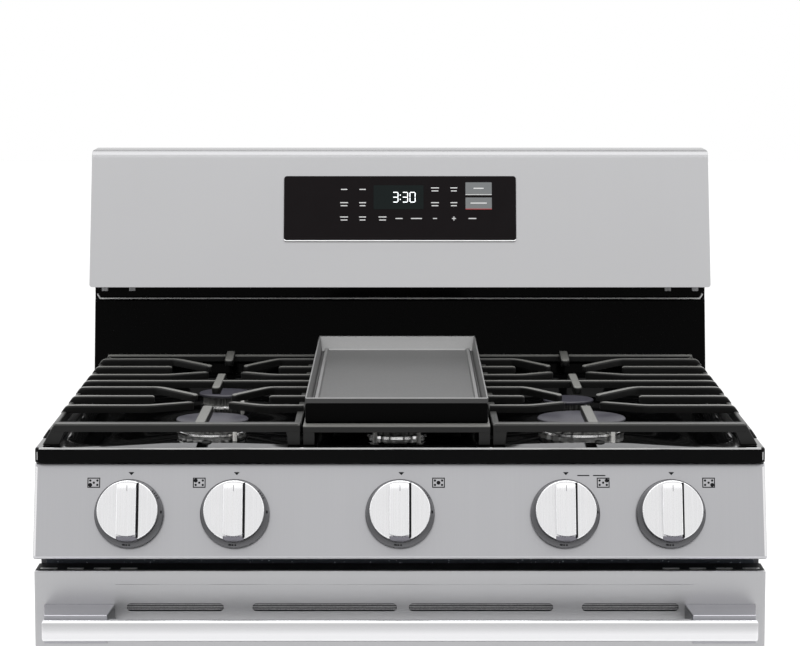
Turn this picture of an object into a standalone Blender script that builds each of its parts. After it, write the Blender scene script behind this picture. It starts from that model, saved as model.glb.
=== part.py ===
"""Free-standing five-burner gas range with a rear control, a centre griddle and a drawer.

Metres, +Z up, +X to the right, +Y towards the wall.  The origin is on the floor, under the
middle of the range.  "left" is -X, as seen from the front.
"""
import math

import bmesh
import bpy
from mathutils import Matrix, Vector

# Driving dimensions
WIDTH = 0.759
REAR_Y = 0.367
TOP_Z = 1.195
RIM_Z = 0.920
GAP = 0.0004  # left between pieces that touch
SHEET = 0.0015  # sheet metal
HALF = WIDTH / 2

# Body
SIDE_X = HALF - 0.002
BODY_FRONT_Y = -0.2595
SIDE_BOTTOM_Z = 0.026
GAS_INLET = (0.345, 0.125)  # X and Z, at the back
LEAD_GLAND = (-0.28, 0.13)
FRAME_Z = 0.028  # underside of the base frame
SKIRT_Z = RIM_Z - 0.0163  # lower edge of the cooktop's skirt

# Cooktop
COOKTOP_FRONT_Y = -0.291
COOKTOP_REAR_Y = 0.3085
WELL_Z = 0.890
WELL_X = 0.352
WELL_Y = (-0.270, 0.290)
MIDLINE_X = -0.0035  # the burners' midline
COLUMN_X = 0.2055  # burner columns, each side of the midline
FRONT_ROW_Y = -0.064
REAR_ROW_Y = 0.188

# Grates and griddle
GRATE_Z = 0.9415
GRATE_BAR = 0.010
GRATE_HEIGHT = 0.011
GRATE_INNER = 0.1005
GRATE_OUTER = 0.3655
GRATE_FRONT_Y = -0.278
GRATE_REAR_Y = 0.3095
THUMB_REACH = 0.068  # from a burner's centre to the tips of the bars that run front to back
GRIDDLE_Z = 0.968

# Control panel: a face that leans back, from its top edge to its bottom edge
PANEL_TOP = Vector((0, -0.2830, SKIRT_Z - GAP))
PANEL_FOOT = Vector((0, -0.3160, 0.8069))
PANEL_TILT = math.atan2(PANEL_TOP.z - PANEL_FOOT.z, PANEL_TOP.y - PANEL_FOOT.y)
KNOB_Z = 0.852
KNOB_SLOPE = (PANEL_TOP.y - PANEL_FOOT.y) / (PANEL_TOP.z - PANEL_FOOT.z)
KNOB_Y = PANEL_TOP.y - (PANEL_TOP.z - KNOB_Z) * KNOB_SLOPE
KNOBS = {"left_front": -0.2805, "left_rear": -0.171, "centre": 0.0, "right_rear": 0.171,
         "right_front": 0.2805}

# Door, oven and drawer
DOOR_FACE_Y = -0.305
DOOR_BACK_Y = -0.268
DOOR_Z = (0.235, 0.7936)
HINGE_Y = -0.284
HINGE_Z = 0.247
HINGE_X = 0.335
PIN_RADIUS = 0.004
FLANGE_Y = -0.2625
OVEN_X = 0.305
OVEN_REAR_Y = 0.215
OVEN_Z = (0.320, 0.765)
BURNER_BOX_Z = (0.275, 0.3185)  # under the oven floor
FAN_Z = 0.5425
FAN_RADIUS = 0.078
FAN_COVER_Y = 0.170
RACK_LEVELS = {"rack_lower": 0.425, "rack_upper": 0.605}
DRAWER_Z = (0.060, 0.221)
DRAWER_X = 0.315

# Backguard
GUARD_FOOT = (0.2656, 1.0300)
GUARD_TOP_Y = 0.3130
RISER_FOOT_Y = 0.3090
RISER_TOP_Y = 0.3350
DISPLAY_HALF = 0.14275
DISPLAY_Z = (1.086, 1.164)

FINISHES = {  # colour, roughness, metallic
    "stainless": ((0.62, 0.62, 0.64), 0.30, 1.0),
    "polished": ((0.80, 0.80, 0.81), 0.15, 1.0),
    "aluminium": ((0.72, 0.72, 0.72), 0.35, 1.0),
    "zinc_sheet": ((0.50, 0.52, 0.53), 0.45, 1.0),
    "black_enamel": ((0.012, 0.012, 0.013), 0.08, 0.0),
    "grey_enamel": ((0.05, 0.055, 0.065), 0.25, 0.0),
    "cast_iron": ((0.045, 0.045, 0.047), 0.60, 0.3),
    "griddle_iron": ((0.20, 0.20, 0.20), 0.50, 0.6),
    "cap_enamel": ((0.16, 0.16, 0.18), 0.45, 0.0),
    "painted_side": ((0.06, 0.06, 0.065), 0.35, 0.0),
    "glass": ((0.01, 0.01, 0.012), 0.04, 0.0),
    "brass": ((0.75, 0.56, 0.25), 0.30, 1.0),
    "steel": ((0.45, 0.45, 0.46), 0.40, 1.0),
    "black_plastic": ((0.03, 0.03, 0.03), 0.50, 0.0),
}


# Meshes: each of these gives one closed mesh

def finished(bm):
    """The bmesh as a mesh with its faces pointing out."""
    bmesh.ops.recalc_face_normals(bm, faces=bm.faces)
    mesh = bpy.data.meshes.new("shape")
    bm.to_mesh(mesh)
    bm.free()
    return mesh


def prism(outline, axis, start, end):
    """A flat outline, drawn across an axis and extruded along it."""
    order = {"X": (2, 0, 1), "Y": (0, 2, 1), "Z": (0, 1, 2)}[axis]
    bm = bmesh.new()
    ends = []
    for distance in (start, end):
        points = [(u, v, distance) for u, v in outline]
        ends.append([bm.verts.new([p[k] for k in order]) for p in points])
    near, far = ends
    bm.faces.new(near)
    bm.faces.new(far)
    for k in range(len(outline)):
        bm.faces.new((near[k - 1], near[k], far[k], far[k - 1]))
    return finished(bm)


def box(x, y, z):
    """A box between pairs of limits."""
    return prism([(x[0], y[0]), (x[1], y[0]), (x[1], y[1]), (x[0], y[1])], "Z", *z)


def circle(radius, sides, centre=(0, 0), start=0.0):
    """Points round a circle."""
    turns = [start + math.tau * k / sides for k in range(sides)]
    return [(centre[0] + radius * math.cos(a), centre[1] + radius * math.sin(a)) for a in turns]


def d_section(radius, flat, sides=12):
    """A round shaft's section with one flat, at a distance from its centre."""
    return [(u, min(v, flat)) for u, v in circle(radius, sides, start=math.pi / sides)]


def oval(half_width, half_length, centre, steps=8):
    """A slot's outline: straight sides along Y and round ends."""
    reach = half_length - half_width
    points = []
    for end, first in ((reach, 0.0), (-reach, math.pi)):
        for k in range(steps + 1):
            turn = first + math.pi * k / steps
            across = half_width * math.cos(turn)
            along = end + half_width * math.sin(turn)
            points.append((centre[0] + across, centre[1] + along))
    return points


def turned(profile, sides, centre=(0, 0)):
    """A profile of (radius, height) turned round a vertical axis."""
    bm = bmesh.new()
    rings = []
    for radius, height in profile:
        if radius == 0:
            rings.append([bm.verts.new((centre[0], centre[1], height))] * sides)
        else:
            ring = circle(radius, sides, centre)
            rings.append([bm.verts.new((x, y, height)) for x, y in ring])
    bored = profile[0][0] > 0
    for k in range(0 if bored else 1, len(rings)):
        for side in range(sides):
            corners = (rings[k - 1][side - 1], rings[k - 1][side], rings[k][side], rings[k][side - 1])
            face = list(dict.fromkeys(corners))
            if len(face) > 2:
                bm.faces.new(face)
    return finished(bm)


def tube(path, radius, sides=8):
    """A round bar along a path, with mitred corners."""
    points = [Vector(p) for p in path]
    heading = (points[1] - points[0]).normalized()
    across = heading.orthogonal().normalized()
    rise = heading.cross(across)
    ring = [points[0] + u * across + v * rise for u, v in circle(radius, sides)]
    bm = bmesh.new()
    rings = [[bm.verts.new(p) for p in ring]]
    for k in range(1, len(points)):
        heading = (points[k] - points[k - 1]).normalized()
        onward = (points[min(k + 1, len(points) - 1)] - points[k]).normalized()
        mitre = (heading + onward).normalized()
        ring = [p + heading * ((points[k] - p).dot(mitre) / heading.dot(mitre)) for p in ring]
        rings.append([bm.verts.new(p) for p in ring])
    for last, new in zip(rings, rings[1:]):
        for side in range(sides):
            bm.faces.new((last[side - 1], last[side], new[side], new[side - 1]))
    bm.faces.new(rings[0])
    bm.faces.new(rings[-1])
    return finished(bm)


def moved(mesh, matrix):
    """The mesh, moved by a matrix."""
    mesh.transform(matrix)
    return mesh


def carve(pieces, cuts=()):
    """One closed mesh: the pieces joined, then the cuts taken out of them."""
    scene = bpy.context.scene.collection
    target = bpy.data.objects.new("target", pieces[0])
    scene.objects.link(target)
    helpers = []
    groups = []
    for operation, meshes in (("UNION", pieces[1:]), ("DIFFERENCE", cuts)):
        if not meshes:
            continue
        group = bpy.data.collections.new(operation)
        scene.children.link(group)
        groups.append(group)
        for mesh in meshes:
            helper = bpy.data.objects.new("helper", mesh)
            group.objects.link(helper)
            helpers.append(helper)
        step = target.modifiers.new(operation, "BOOLEAN")
        step.operation = operation
        step.operand_type = "COLLECTION"
        step.collection = group
    seen = target.evaluated_get(bpy.context.evaluated_depsgraph_get())
    result = bpy.data.meshes.new_from_object(seen)
    for helper in helpers + [target]:
        bpy.data.objects.remove(helper)
    for group in groups:
        bpy.data.collections.remove(group)
    return result


# Objects

def finish(name):
    """The named material, made on first use."""
    material = bpy.data.materials.get(name)
    if material is None:
        colour, roughness, metallic = FINISHES[name]
        material = bpy.data.materials.new(name)
        material.use_nodes = True
        shader = material.node_tree.nodes["Principled BSDF"]
        shader.inputs["Base Color"].default_value = (*colour, 1)
        shader.inputs["Roughness"].default_value = roughness
        shader.inputs["Metallic"].default_value = metallic
    return material


def pivot(name, location, tilt=0.0, parent=None):
    """An empty on a joint's axis."""
    empty = bpy.data.objects.new(name, None)
    bpy.context.scene.collection.objects.link(empty)
    empty.location = location
    empty.rotation_euler = (tilt, 0, 0)
    empty.parent = parent
    return empty


def add(name, mesh, look, on=None, local=False):
    """A named piece.  One on a pivot keeps its place, unless its mesh is local to the pivot."""
    if not mesh.materials:
        mesh.materials.append(finish(look))
    mesh.shade_smooth()
    mesh.set_sharp_from_angle(angle=math.radians(35))
    piece = bpy.data.objects.new(name, mesh)
    bpy.context.scene.collection.objects.link(piece)
    piece.parent = on
    if on is not None and not local:
        piece.matrix_parent_inverse = Matrix.Translation(on.location).inverted()
    return piece


def side_name(side):
    return "left" if side < 0 else "right"


# Body

def side_panel(side):
    """A painted side sheet with its front and rear flanges."""
    front_flange, rear_flange = 0.018, 0.012
    outer = side * SIDE_X
    inner = side * (SIDE_X - SHEET)
    outline = [
        (outer, BODY_FRONT_Y),
        (outer, REAR_Y),
        (side * (SIDE_X - rear_flange), REAR_Y),
        (side * (SIDE_X - rear_flange), REAR_Y - SHEET),
        (inner, REAR_Y - SHEET),
        (inner, BODY_FRONT_Y + SHEET),
        (side * (SIDE_X - front_flange), BODY_FRONT_Y + SHEET),
        (side * (SIDE_X - front_flange), BODY_FRONT_Y),
    ]
    add(f"side_panel_{side_name(side)}", prism(outline, "Z", SIDE_BOTTOM_Z, SKIRT_Z - GAP), "painted_side")


def back_panel():
    """The rear sheet, with louvres, the gas inlet's hole and the mains lead's gland."""
    rear = REAR_Y - SHEET - 0.0003
    sheet = box((-0.374, 0.374), (rear - SHEET, rear), (0.062, SKIRT_Z - GAP))
    gland = prism(circle(0.012, 10, LEAD_GLAND), "Y", rear - 0.0075, rear + 0.0015)
    cuts = [
        prism(circle(0.005, 8, LEAD_GLAND), "Y", rear - 0.02, rear + 0.02),
        prism(circle(0.019, 12, GAS_INLET), "Y", rear - 0.01, rear + 0.01),
    ]
    for row in range(5):
        height = 0.62 + row * 0.045
        cuts.append(box((-0.16, 0.16), (rear - 0.01, rear + 0.01), (height, height + 0.008)))
    add("back_panel", carve([sheet, gland], cuts), "zinc_sheet")


def base_frame():
    """A ring of box section, which carries the body and guides the drawer."""
    ring = box((-0.3745, 0.3745), (-0.2550, 0.3550), (FRAME_Z, DRAWER_Z[0] - GAP))
    hole = box((-0.3445, 0.3445), (-0.2250, 0.3250), (0.0, 0.1))
    add("base_frame", carve([ring], [hole]), "black_enamel")


def levelling_foot(name, x, y):
    """A screwed foot with a round pad."""
    profile = [(0, 0), (0.017, 0), (0.019, 0.002), (0.019, 0.007), (0.0065, 0.010),
               (0.0065, FRAME_Z - GAP), (0, FRAME_Z - GAP)]
    add(name, turned(profile, 12, (x, y)), "black_plastic")


# Cooktop

def burner_places():
    """Each round burner: its name, centre, cap radius and the height of its cap's rim."""
    left = MIDLINE_X - COLUMN_X
    right = MIDLINE_X + COLUMN_X
    return [
        ("left_front", (left, FRONT_ROW_Y), 0.0400, 0.9180),
        ("left_rear", (left, REAR_ROW_Y), 0.0313, 0.9120),
        ("right_front", (right, FRONT_ROW_Y), 0.0490, 0.9190),
        ("right_rear", (right, REAR_ROW_Y), 0.0300, 0.9040),
    ]


CENTRE_BURNER = (MIDLINE_X, 0.050)
CENTRE_HALF = (0.033, 0.145)
CENTRE_CAP_Z = 0.9145
NECK_RADIUS = 0.0185


def cooktop_panel():
    """A pressed cooktop: a skirt all round, a flat ledge and one well with five holes."""
    under = (COOKTOP_FRONT_Y + SHEET, COOKTOP_REAR_Y - SHEET)
    slab = box((-HALF, HALF), (COOKTOP_FRONT_Y, COOKTOP_REAR_Y), (SKIRT_Z, RIM_Z))
    shell = carve([slab], [box((SHEET - HALF, HALF - SHEET), under, (0.85, RIM_Z - SHEET))])
    pan = box((-WELL_X - SHEET, WELL_X + SHEET), (WELL_Y[0] - SHEET, WELL_Y[1] + SHEET),
              (WELL_Z - SHEET, RIM_Z - SHEET / 2))
    well = box((-WELL_X, WELL_X), WELL_Y, (WELL_Z, RIM_Z + 0.01))
    holes = []
    for centre in [place[1] for place in burner_places()] + [CENTRE_BURNER]:
        holes.append(prism(circle(NECK_RADIUS + 0.002, 16, centre), "Z", WELL_Z - 0.01, WELL_Z + 0.005))
    add("cooktop_panel", carve([shell, pan], [well] + holes), "black_enamel")


def round_burner(name, centre, radius, cap_z):
    """A burner head that stands in its hole, and the loose cap on it."""
    seat = WELL_Z + GAP
    top = cap_z - 0.0045
    lip = seat + (top - seat) * 0.55
    bore = 0.007
    head = [(bore, 0.866), (NECK_RADIUS, 0.866), (NECK_RADIUS, seat), (radius - 0.004, seat),
            (radius - 0.0035, lip - 0.001), (radius - 0.001, lip), (radius - 0.001, lip + 0.001),
            (radius - 0.006, top), (bore, top)]
    cap = [(0, top + GAP), (radius - 0.003, top + GAP), (radius, top + 0.0015), (radius, cap_z - 0.001),
           (radius - 0.003, cap_z + 0.0005), (0, cap_z + 0.0015)]
    add(f"burner_head_{name}", turned(head, 20, centre), "aluminium")
    add(f"burner_cap_{name}", turned(cap, 20, centre), "cap_enamel")


def oval_burner():
    """The long burner under the griddle."""
    top = CENTRE_CAP_Z - 0.006
    wide, long = CENTRE_HALF
    skirt = prism(oval(wide, long, CENTRE_BURNER), "Z", WELL_Z + GAP, WELL_Z + 0.007)
    wall = prism(oval(wide - 0.005, long - 0.005, CENTRE_BURNER), "Z", WELL_Z + 0.006, top)
    neck = prism(circle(NECK_RADIUS, 16, CENTRE_BURNER), "Z", 0.866, WELL_Z + 0.003)
    bore = prism(circle(0.007, 8, CENTRE_BURNER), "Z", 0.85, CENTRE_CAP_Z)
    add("burner_head_centre", carve([skirt, wall, neck], [bore]), "aluminium")
    cap = prism(oval(wide, long, CENTRE_BURNER), "Z", top + GAP, CENTRE_CAP_Z)
    add("burner_cap_centre", cap, "cap_enamel")


# Grates

def bar(start, end, width=GRATE_BAR, bottom=GRATE_Z - GRATE_HEIGHT, top=GRATE_Z):
    """A straight bar between two points in plan."""
    run = Vector(end) - Vector(start)
    across = Vector((-run.y, run.x)).normalized() * width / 2
    corners = [Vector(start) - across, Vector(end) - across, Vector(end) + across, Vector(start) + across]
    return prism([tuple(c) for c in corners], "Z", bottom, top)


def grate_frame(left, right):
    """The four outer rails of a grate and its corner feet."""
    rail = 0.012
    front_rail = 0.022
    pieces = [
        bar((left, GRATE_FRONT_Y + front_rail / 2), (right, GRATE_FRONT_Y + front_rail / 2), front_rail),
        bar((left, GRATE_REAR_Y - rail / 2), (right, GRATE_REAR_Y - rail / 2), rail),
        bar((left + rail / 2, GRATE_FRONT_Y + 0.002), (left + rail / 2, GRATE_REAR_Y - 0.002), rail),
        bar((right - rail / 2, GRATE_FRONT_Y + 0.002), (right - rail / 2, GRATE_REAR_Y - 0.002), rail),
    ]
    foot_z = (RIM_Z + GAP, GRATE_Z - 0.002)
    for x in (left + 0.001, right - 0.013):
        pieces.append(box((x, x + 0.012), (GRATE_FRONT_Y + 0.0005, GRATE_FRONT_Y + 0.0075), foot_z))
        pieces.append(box((x, x + 0.012), (GRATE_REAR_Y - 0.0125, GRATE_REAR_Y - 0.0005), foot_z))
    return pieces


def side_grate(side):
    """A grate over two burners, with fingers that point at each burner's centre."""
    column = MIDLINE_X + side * COLUMN_X
    outer = MIDLINE_X + side * GRATE_OUTER
    inner = MIDLINE_X + side * GRATE_INNER
    middle = (FRONT_ROW_Y + REAR_ROW_Y) / 2
    left, right = sorted((outer, inner))
    pieces = grate_frame(left, right)
    pieces.append(bar((left + 0.004, middle), (right - 0.004, middle)))
    for row in (FRONT_ROW_Y, REAR_ROW_Y):
        for edge, bend, tip, stub in ((outer, 0.063, 0.018, 0.0644), (inner, -0.059, -0.024, -0.0646)):
            root = edge + 0.006 * math.copysign(1, column - edge)
            pieces.append(bar((root, row), (column + side * stub, row)))
            for away in (-1, 1):
                knee = (column + side * bend, row + away * 0.0725)
                end = (column + side * tip, row + away * 0.029)
                past = (knee[0] + 0.003 * math.copysign(1, column - knee[0]), knee[1])
                pieces.append(bar((root, knee[1]), past))
                pieces.append(bar(knee, end, 0.009))
    thumbs = (
        (GRATE_FRONT_Y + 0.015, FRONT_ROW_Y - THUMB_REACH),
        (FRONT_ROW_Y + THUMB_REACH, REAR_ROW_Y - THUMB_REACH),
        (REAR_ROW_Y + THUMB_REACH, GRATE_REAR_Y - 0.008),
    )
    for start, end in thumbs:
        pieces.append(bar((column, start), (column, end)))
    lift = pivot(f"lift_grate_{side_name(side)}", (column, middle, RIM_Z))
    add(f"grate_{side_name(side)}", carve(pieces), "cast_iron", lift)


def centre_grate_and_griddle():
    """The middle grate, and the cast griddle that stands on it."""
    left = MIDLINE_X - GRATE_INNER + 0.003
    right = MIDLINE_X + GRATE_INNER - 0.003
    pieces = grate_frame(left, right)
    for y in (-0.17, -0.08, 0.01, 0.10, 0.19):
        pieces.append(bar((left + 0.004, y), (right - 0.004, y)))
    pieces.append(bar((MIDLINE_X, GRATE_FRONT_Y + 0.015), (MIDLINE_X, GRATE_REAR_Y - 0.008)))
    lift = pivot("lift_grate_centre", (MIDLINE_X, 0, RIM_Z))
    add("grate_centre", carve(pieces), "cast_iron", lift)

    half = 0.0957
    base = GRATE_Z + GAP
    x = (MIDLINE_X - half, MIDLINE_X + half)
    y = (-0.264, 0.285)
    block = box(x, y, (base, GRIDDLE_Z))
    tray = box((x[0] + 0.006, x[1] - 0.006), (y[0] + 0.010, y[1] - 0.012), (0.952, GRIDDLE_Z + 0.01))
    grooves = [
        box((x[0] + 0.008, x[0] + 0.015), (y[0] + 0.014, y[1] - 0.03), (0.9485, 0.96)),
        box((x[1] - 0.015, x[1] - 0.008), (y[0] + 0.014, y[1] - 0.03), (0.9485, 0.96)),
    ]
    hollow = box((x[0] + 0.02, x[1] - 0.02), (y[0] + 0.02, y[1] - 0.02), (base - 0.01, 0.9455))
    raise_griddle = pivot("lift_griddle", (MIDLINE_X, 0, base))
    add("griddle", carve([block], [tray, hollow] + grooves), "griddle_iron", raise_griddle)


# Controls and gas

def control_panel():
    """The leaning stainless fascia, open at the back, with a hole for each stem."""
    back = FLANGE_Y - GAP
    step_y = WELL_Y[0] - 2 * SHEET
    step_z = WELL_Z - 2 * SHEET
    fold = 0.003
    outline = [
        (back, step_z),
        (step_y, step_z),
        (step_y, PANEL_TOP.z),
        (PANEL_TOP.y, PANEL_TOP.z),
        (PANEL_FOOT.y + fold * KNOB_SLOPE, PANEL_FOOT.z + fold),
        (PANEL_FOOT.y + fold, PANEL_FOOT.z),
        (back, PANEL_FOOT.z),
    ]
    end = 0.006
    inset_y = SHEET / math.sin(PANEL_TILT)
    top = PANEL_TOP.z - SHEET
    foot = PANEL_FOOT.z + SHEET
    inner = [(back + 0.01, top), (PANEL_TOP.y + inset_y - SHEET * KNOB_SLOPE, top),
             (PANEL_FOOT.y + inset_y + SHEET * KNOB_SLOPE, foot), (back + 0.01, foot)]
    holes = []
    for x in KNOBS.values():
        place = Matrix.Translation((x, KNOB_Y, KNOB_Z)) @ Matrix.Rotation(PANEL_TILT, 4, "X")
        holes.append(moved(prism(circle(0.007, 12), "Z", -0.02, 0.02), place))
    hollow = prism(inner, "X", end - HALF, HALF - end)
    add("control_panel", carve([prism(outline, "X", -HALF, HALF)], [hollow] + holes), "stainless")


def gas_controls():
    """For each knob: a valve on the manifold, a stem that turns in it and the knob on the stem."""
    bodies = [
        prism(circle(0.011, 12), "Z", -0.0450, -0.012),
        box((-0.014, 0.014), (-0.014, 0.014), (-0.020, -0.013)),
        tube([(0, 0.006, -0.032), (0, 0.024, -0.032)], 0.0045, 8),
    ]
    bore = prism(circle(0.0048, 12), "Z", -0.037, 0.0)
    valve = carve(bodies, [bore])
    shaft = prism(circle(PIN_RADIUS, 12, start=math.pi / 12), "Z", -0.035, -0.002)
    stem = carve([shaft, prism(d_section(PIN_RADIUS, 0.0025), "Z", -0.003, 0.0165)])
    dial = turned([(0, 0.0036), (0.036, 0.0036), (0.036, 0.0066), (0.0330, 0.0086), (0.0300, 0.0090),
                   (0.0300, 0.0215), (0.0314, 0.0250), (0.0312, 0.0265), (0, 0.0268)], 28)
    ridge = [(0.0255, 0.0315), (0.0290, 0.0260), (0.0290, 0.0150), (-0.0300, 0.0150),
             (-0.0300, 0.0258), (-0.0255, 0.0335)]
    grip = prism(ridge, "X", -0.0110, 0.0110)
    socket = prism(d_section(0.0046, 0.0030), "Z", 0.0, 0.0215)
    knob = carve([dial, grip], [socket])
    for name, x in KNOBS.items():
        place = (x, KNOB_Y, KNOB_Z)
        fixed = pivot(f"valve_seat_{name}", place, PANEL_TILT)
        turning = pivot(f"turn_{name}", place, PANEL_TILT)
        pressing = pivot(f"press_{name}", (0, 0, 0), parent=turning)
        add(f"burner_valve_{name}", valve, "brass", fixed, local=True)
        add(f"valve_stem_{name}", stem, "steel", turning, local=True)
        add(f"knob_{name}", knob, "polished", pressing, local=True)


def gas_supply():
    """The square manifold with its down pipe, and the regulator at the inlet."""
    lean = Matrix.Translation((0, KNOB_Y, KNOB_Z)) @ Matrix.Rotation(PANEL_TILT, 4, "X")
    rail = moved(box((-0.33, 0.356), (-0.009, 0.009), (-0.0635, -0.0454)), lean)
    start = lean @ Vector((GAS_INLET[0], 0, -0.0545))
    pipe = tube([start, (start.x, 0.30, start.z), (start.x, 0.30, 0.1508)], 0.0065, 8)
    add("gas_manifold", carve([rail, pipe]), "aluminium")
    profile = [(0, 0.104), (0.026, 0.104), (0.028, 0.110), (0.028, 0.138), (0.020, 0.144),
               (0.020, 0.1504), (0, 0.1504)]
    drum = turned(profile, 16, (GAS_INLET[0], 0.300))
    fitting = prism(circle(0.0135, 6, GAS_INLET), "Y", 0.32, REAR_Y - 0.001)
    add("gas_regulator", carve([drum, fitting]), "brass")


# Oven

def oven_liner():
    """The enamelled oven box: front frame, rack guides, and a slotted floor over a burner box."""
    frame = box((-0.372, 0.372), (FLANGE_Y, BODY_FRONT_Y - GAP), (0.238, 0.8058))
    shell = box((-OVEN_X - SHEET, OVEN_X + SHEET), (FLANGE_Y + 0.001, OVEN_REAR_Y + SHEET),
                (BURNER_BOX_Z[0] - SHEET, OVEN_Z[1] + SHEET))
    cavity = box((-OVEN_X, OVEN_X), (FLANGE_Y - 0.01, OVEN_REAR_Y), OVEN_Z)
    burner_box = box((0.010 - OVEN_X, OVEN_X - 0.010), (-0.245, OVEN_REAR_Y), BURNER_BOX_Z)
    slots = []
    for x in (-0.2, 0.2):
        for y in (-0.20, 0.14):
            slots.append(box((x - 0.055, x + 0.055), (y, y + 0.008), (0.31, 0.33)))
    walls = carve([frame, shell], [cavity, burner_box] + slots)
    guides = []
    for level in (0.425, 0.515, 0.605, 0.680):
        for side in (-1, 1):
            x = sorted((side * (OVEN_X + SHEET / 2), side * (OVEN_X - 0.012)))
            guides.append(box(x, (-0.235, 0.165), (level - 0.0065, level - 0.0025)))
    add("oven_liner", carve([walls] + guides), "grey_enamel")


def oven_burners():
    """The bake burner under the oven's floor and the broil burner under its roof."""
    height = sum(BURNER_BOX_Z) / 2
    path = [(-0.07, OVEN_REAR_Y - GAP), (-0.07, -0.19), (0.07, -0.19), (0.07, 0.16)]
    add("bake_burner", tube([(x, y, height) for x, y in path], 0.011, 8), "aluminium")
    section = [(-0.045, 0.742), (0.045, 0.742), (0.030, 0.757), (-0.030, 0.757)]
    body = prism(section, "Y", -0.20, OVEN_REAR_Y - GAP)
    wings = box((-0.085, 0.085), (-0.21, 0.18), (0.7395, 0.7430))
    add("broil_burner", carve([body, wings]), "steel")


def around_fan(mesh, turn):
    """A mesh made about the Z axis, turned and laid on the fan's axis."""
    stand = Matrix.Translation((0, 0, FAN_Z)) @ Matrix.Rotation(-math.pi / 2, 4, "X")
    return moved(mesh, stand @ Matrix.Rotation(turn, 4, "Z"))


def convection_fan():
    """The oven's fan, a backed wheel of straight blades, under a slotted cover."""
    blades = 8
    hub = around_fan(turned([(0, 0.178), (0.010, 0.178), (0.010, 0.209), (0, 0.209)], 12), 0)
    disc = [(0, 0.2035), (FAN_RADIUS, 0.2035), (FAN_RADIUS, 0.2050), (0, 0.2050)]
    plate = around_fan(turned(disc, 24), 0)
    wheel = [plate, hub]
    for k in range(blades):
        blade = box((0.022, FAN_RADIUS - 0.003), (-0.0006, 0.0006), (0.184, 0.2042))
        wheel.append(around_fan(blade, math.tau * k / blades))
    add("convection_fan", carve(wheel), "steel", pivot("fan_axis", (0, OVEN_REAR_Y, FAN_Z)))

    half = 0.125
    low, high = FAN_Z - half, FAN_Z + half
    rear = OVEN_REAR_Y - GAP
    outline = [(-half, rear), (-half + 0.015, FAN_COVER_Y), (half - 0.015, FAN_COVER_Y), (half, rear)]
    inside = [(-half + 0.002, rear + 0.01), (-half + 0.0165, FAN_COVER_Y + SHEET),
              (half - 0.0165, FAN_COVER_Y + SHEET), (half - 0.002, rear + 0.01)]
    cuts = [prism(inside, "Z", low + SHEET, high - SHEET)]
    openings = 12
    for k in range(openings):
        slot = box((0.018, 0.060), (-0.003, 0.003), (0.15, 0.18))
        cuts.append(around_fan(slot, math.tau * (k + 0.5) / openings))
    add("fan_cover", carve([prism(outline, "Z", low, high)], cuts), "grey_enamel")


def rack(name, level):
    """A flat wire rack that rests on its guides."""
    half_x, front, rear = 0.2985, -0.238, 0.162
    wire = 0.0045
    wires = 9
    pitch_x = (2 * half_x - wire) / (wires + 1)
    middle = (front + rear) / 2
    halves = ((front + wire, middle - wire / 2), (middle + wire / 2, rear - wire))
    cells = []
    for k in range(wires + 1):
        low = -half_x + wire + k * pitch_x
        for y in halves:
            cells.append(box((low, low + pitch_x - wire), y, (level - 0.02, level + 0.02)))
    slab = box((-half_x, half_x), (front, rear), (level - 0.002, level + 0.0025))
    add(name, carve([slab], cells), "polished", pivot(f"slide_{name}", (0, front, level)))


# Door and drawer

def door_block(side):
    """A bearing block inside the door's foot."""
    x = side * HINGE_X
    reach = 0.010
    depth = (HINGE_Y - reach, HINGE_Y + reach)
    return box((x - reach, x + reach), depth, (DOOR_Z[0] + 0.001, HINGE_Z + reach))


def hinge_slot(side):
    """The slot that the fixed hinge plate needs as the door turns round it."""
    x = side * HINGE_X
    return box((x - 0.0026, x + 0.0026), (HINGE_Y - 0.0075, HINGE_Y + 0.04), (0.20, HINGE_Z + 0.009))


def door():
    """Skin, outer and inner glass, liner and handle, all on the hinge axis."""
    swing = pivot("door_hinge", (0, HINGE_Y, HINGE_Z))
    outer = box((-HALF, HALF), (DOOR_FACE_Y, DOOR_BACK_Y), DOOR_Z)
    height = (DOOR_Z[0] + SHEET, DOOR_Z[1] - SHEET)
    hollow = box((SHEET - HALF, HALF - SHEET), (DOOR_FACE_Y + SHEET, 0), height)
    window = box((-0.270, 0.270), (-0.32, -0.29), (0.335, 0.645))
    vents = []
    for low, high in ((0.0062, 0.1562), (0.1858, 0.2867)):
        for x in ((low, high), (-high, -low)):
            vents.append(box(x, (-0.32, -0.29), (0.7506, 0.7589)))
    shell = carve([outer], [hollow, window] + vents)
    cuts = [hinge_slot(-1), hinge_slot(1)]
    for x in (-HINGE_X, HINGE_X):
        bore = circle(PIN_RADIUS + 0.0007, 12, (HINGE_Y, HINGE_Z))
        cuts.append(prism(bore, "X", x - 0.02, x + 0.02))
    add("door_skin", carve([shell, door_block(-1), door_block(1)], cuts), "stainless", swing)
    inside = DOOR_FACE_Y + SHEET + GAP
    add("door_window", box((-0.285, 0.285), (inside, inside + 0.004), (0.320, 0.660)), "glass", swing)
    sheet = box((-0.372, 0.372), (DOOR_BACK_Y + GAP, DOOR_BACK_Y + 0.0024), (0.242, 0.787))
    raised = box((-0.290, 0.290), (DOOR_BACK_Y + 0.001, DOOR_BACK_Y + 0.0034), (0.300, 0.750))
    opening = box((-0.190, 0.190), (-0.29, -0.25), (0.400, 0.600))
    cuts = [opening, hinge_slot(-1), hinge_slot(1)]
    add("door_liner", carve([sheet, raised], cuts), "grey_enamel", swing)
    pane = box((-0.205, 0.205), (DOOR_BACK_Y - 0.004, DOOR_BACK_Y), (0.385, 0.615))
    add("door_inner_glass", pane, "glass", swing)
    add("door_handle", handle(), "polished", swing)


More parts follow.
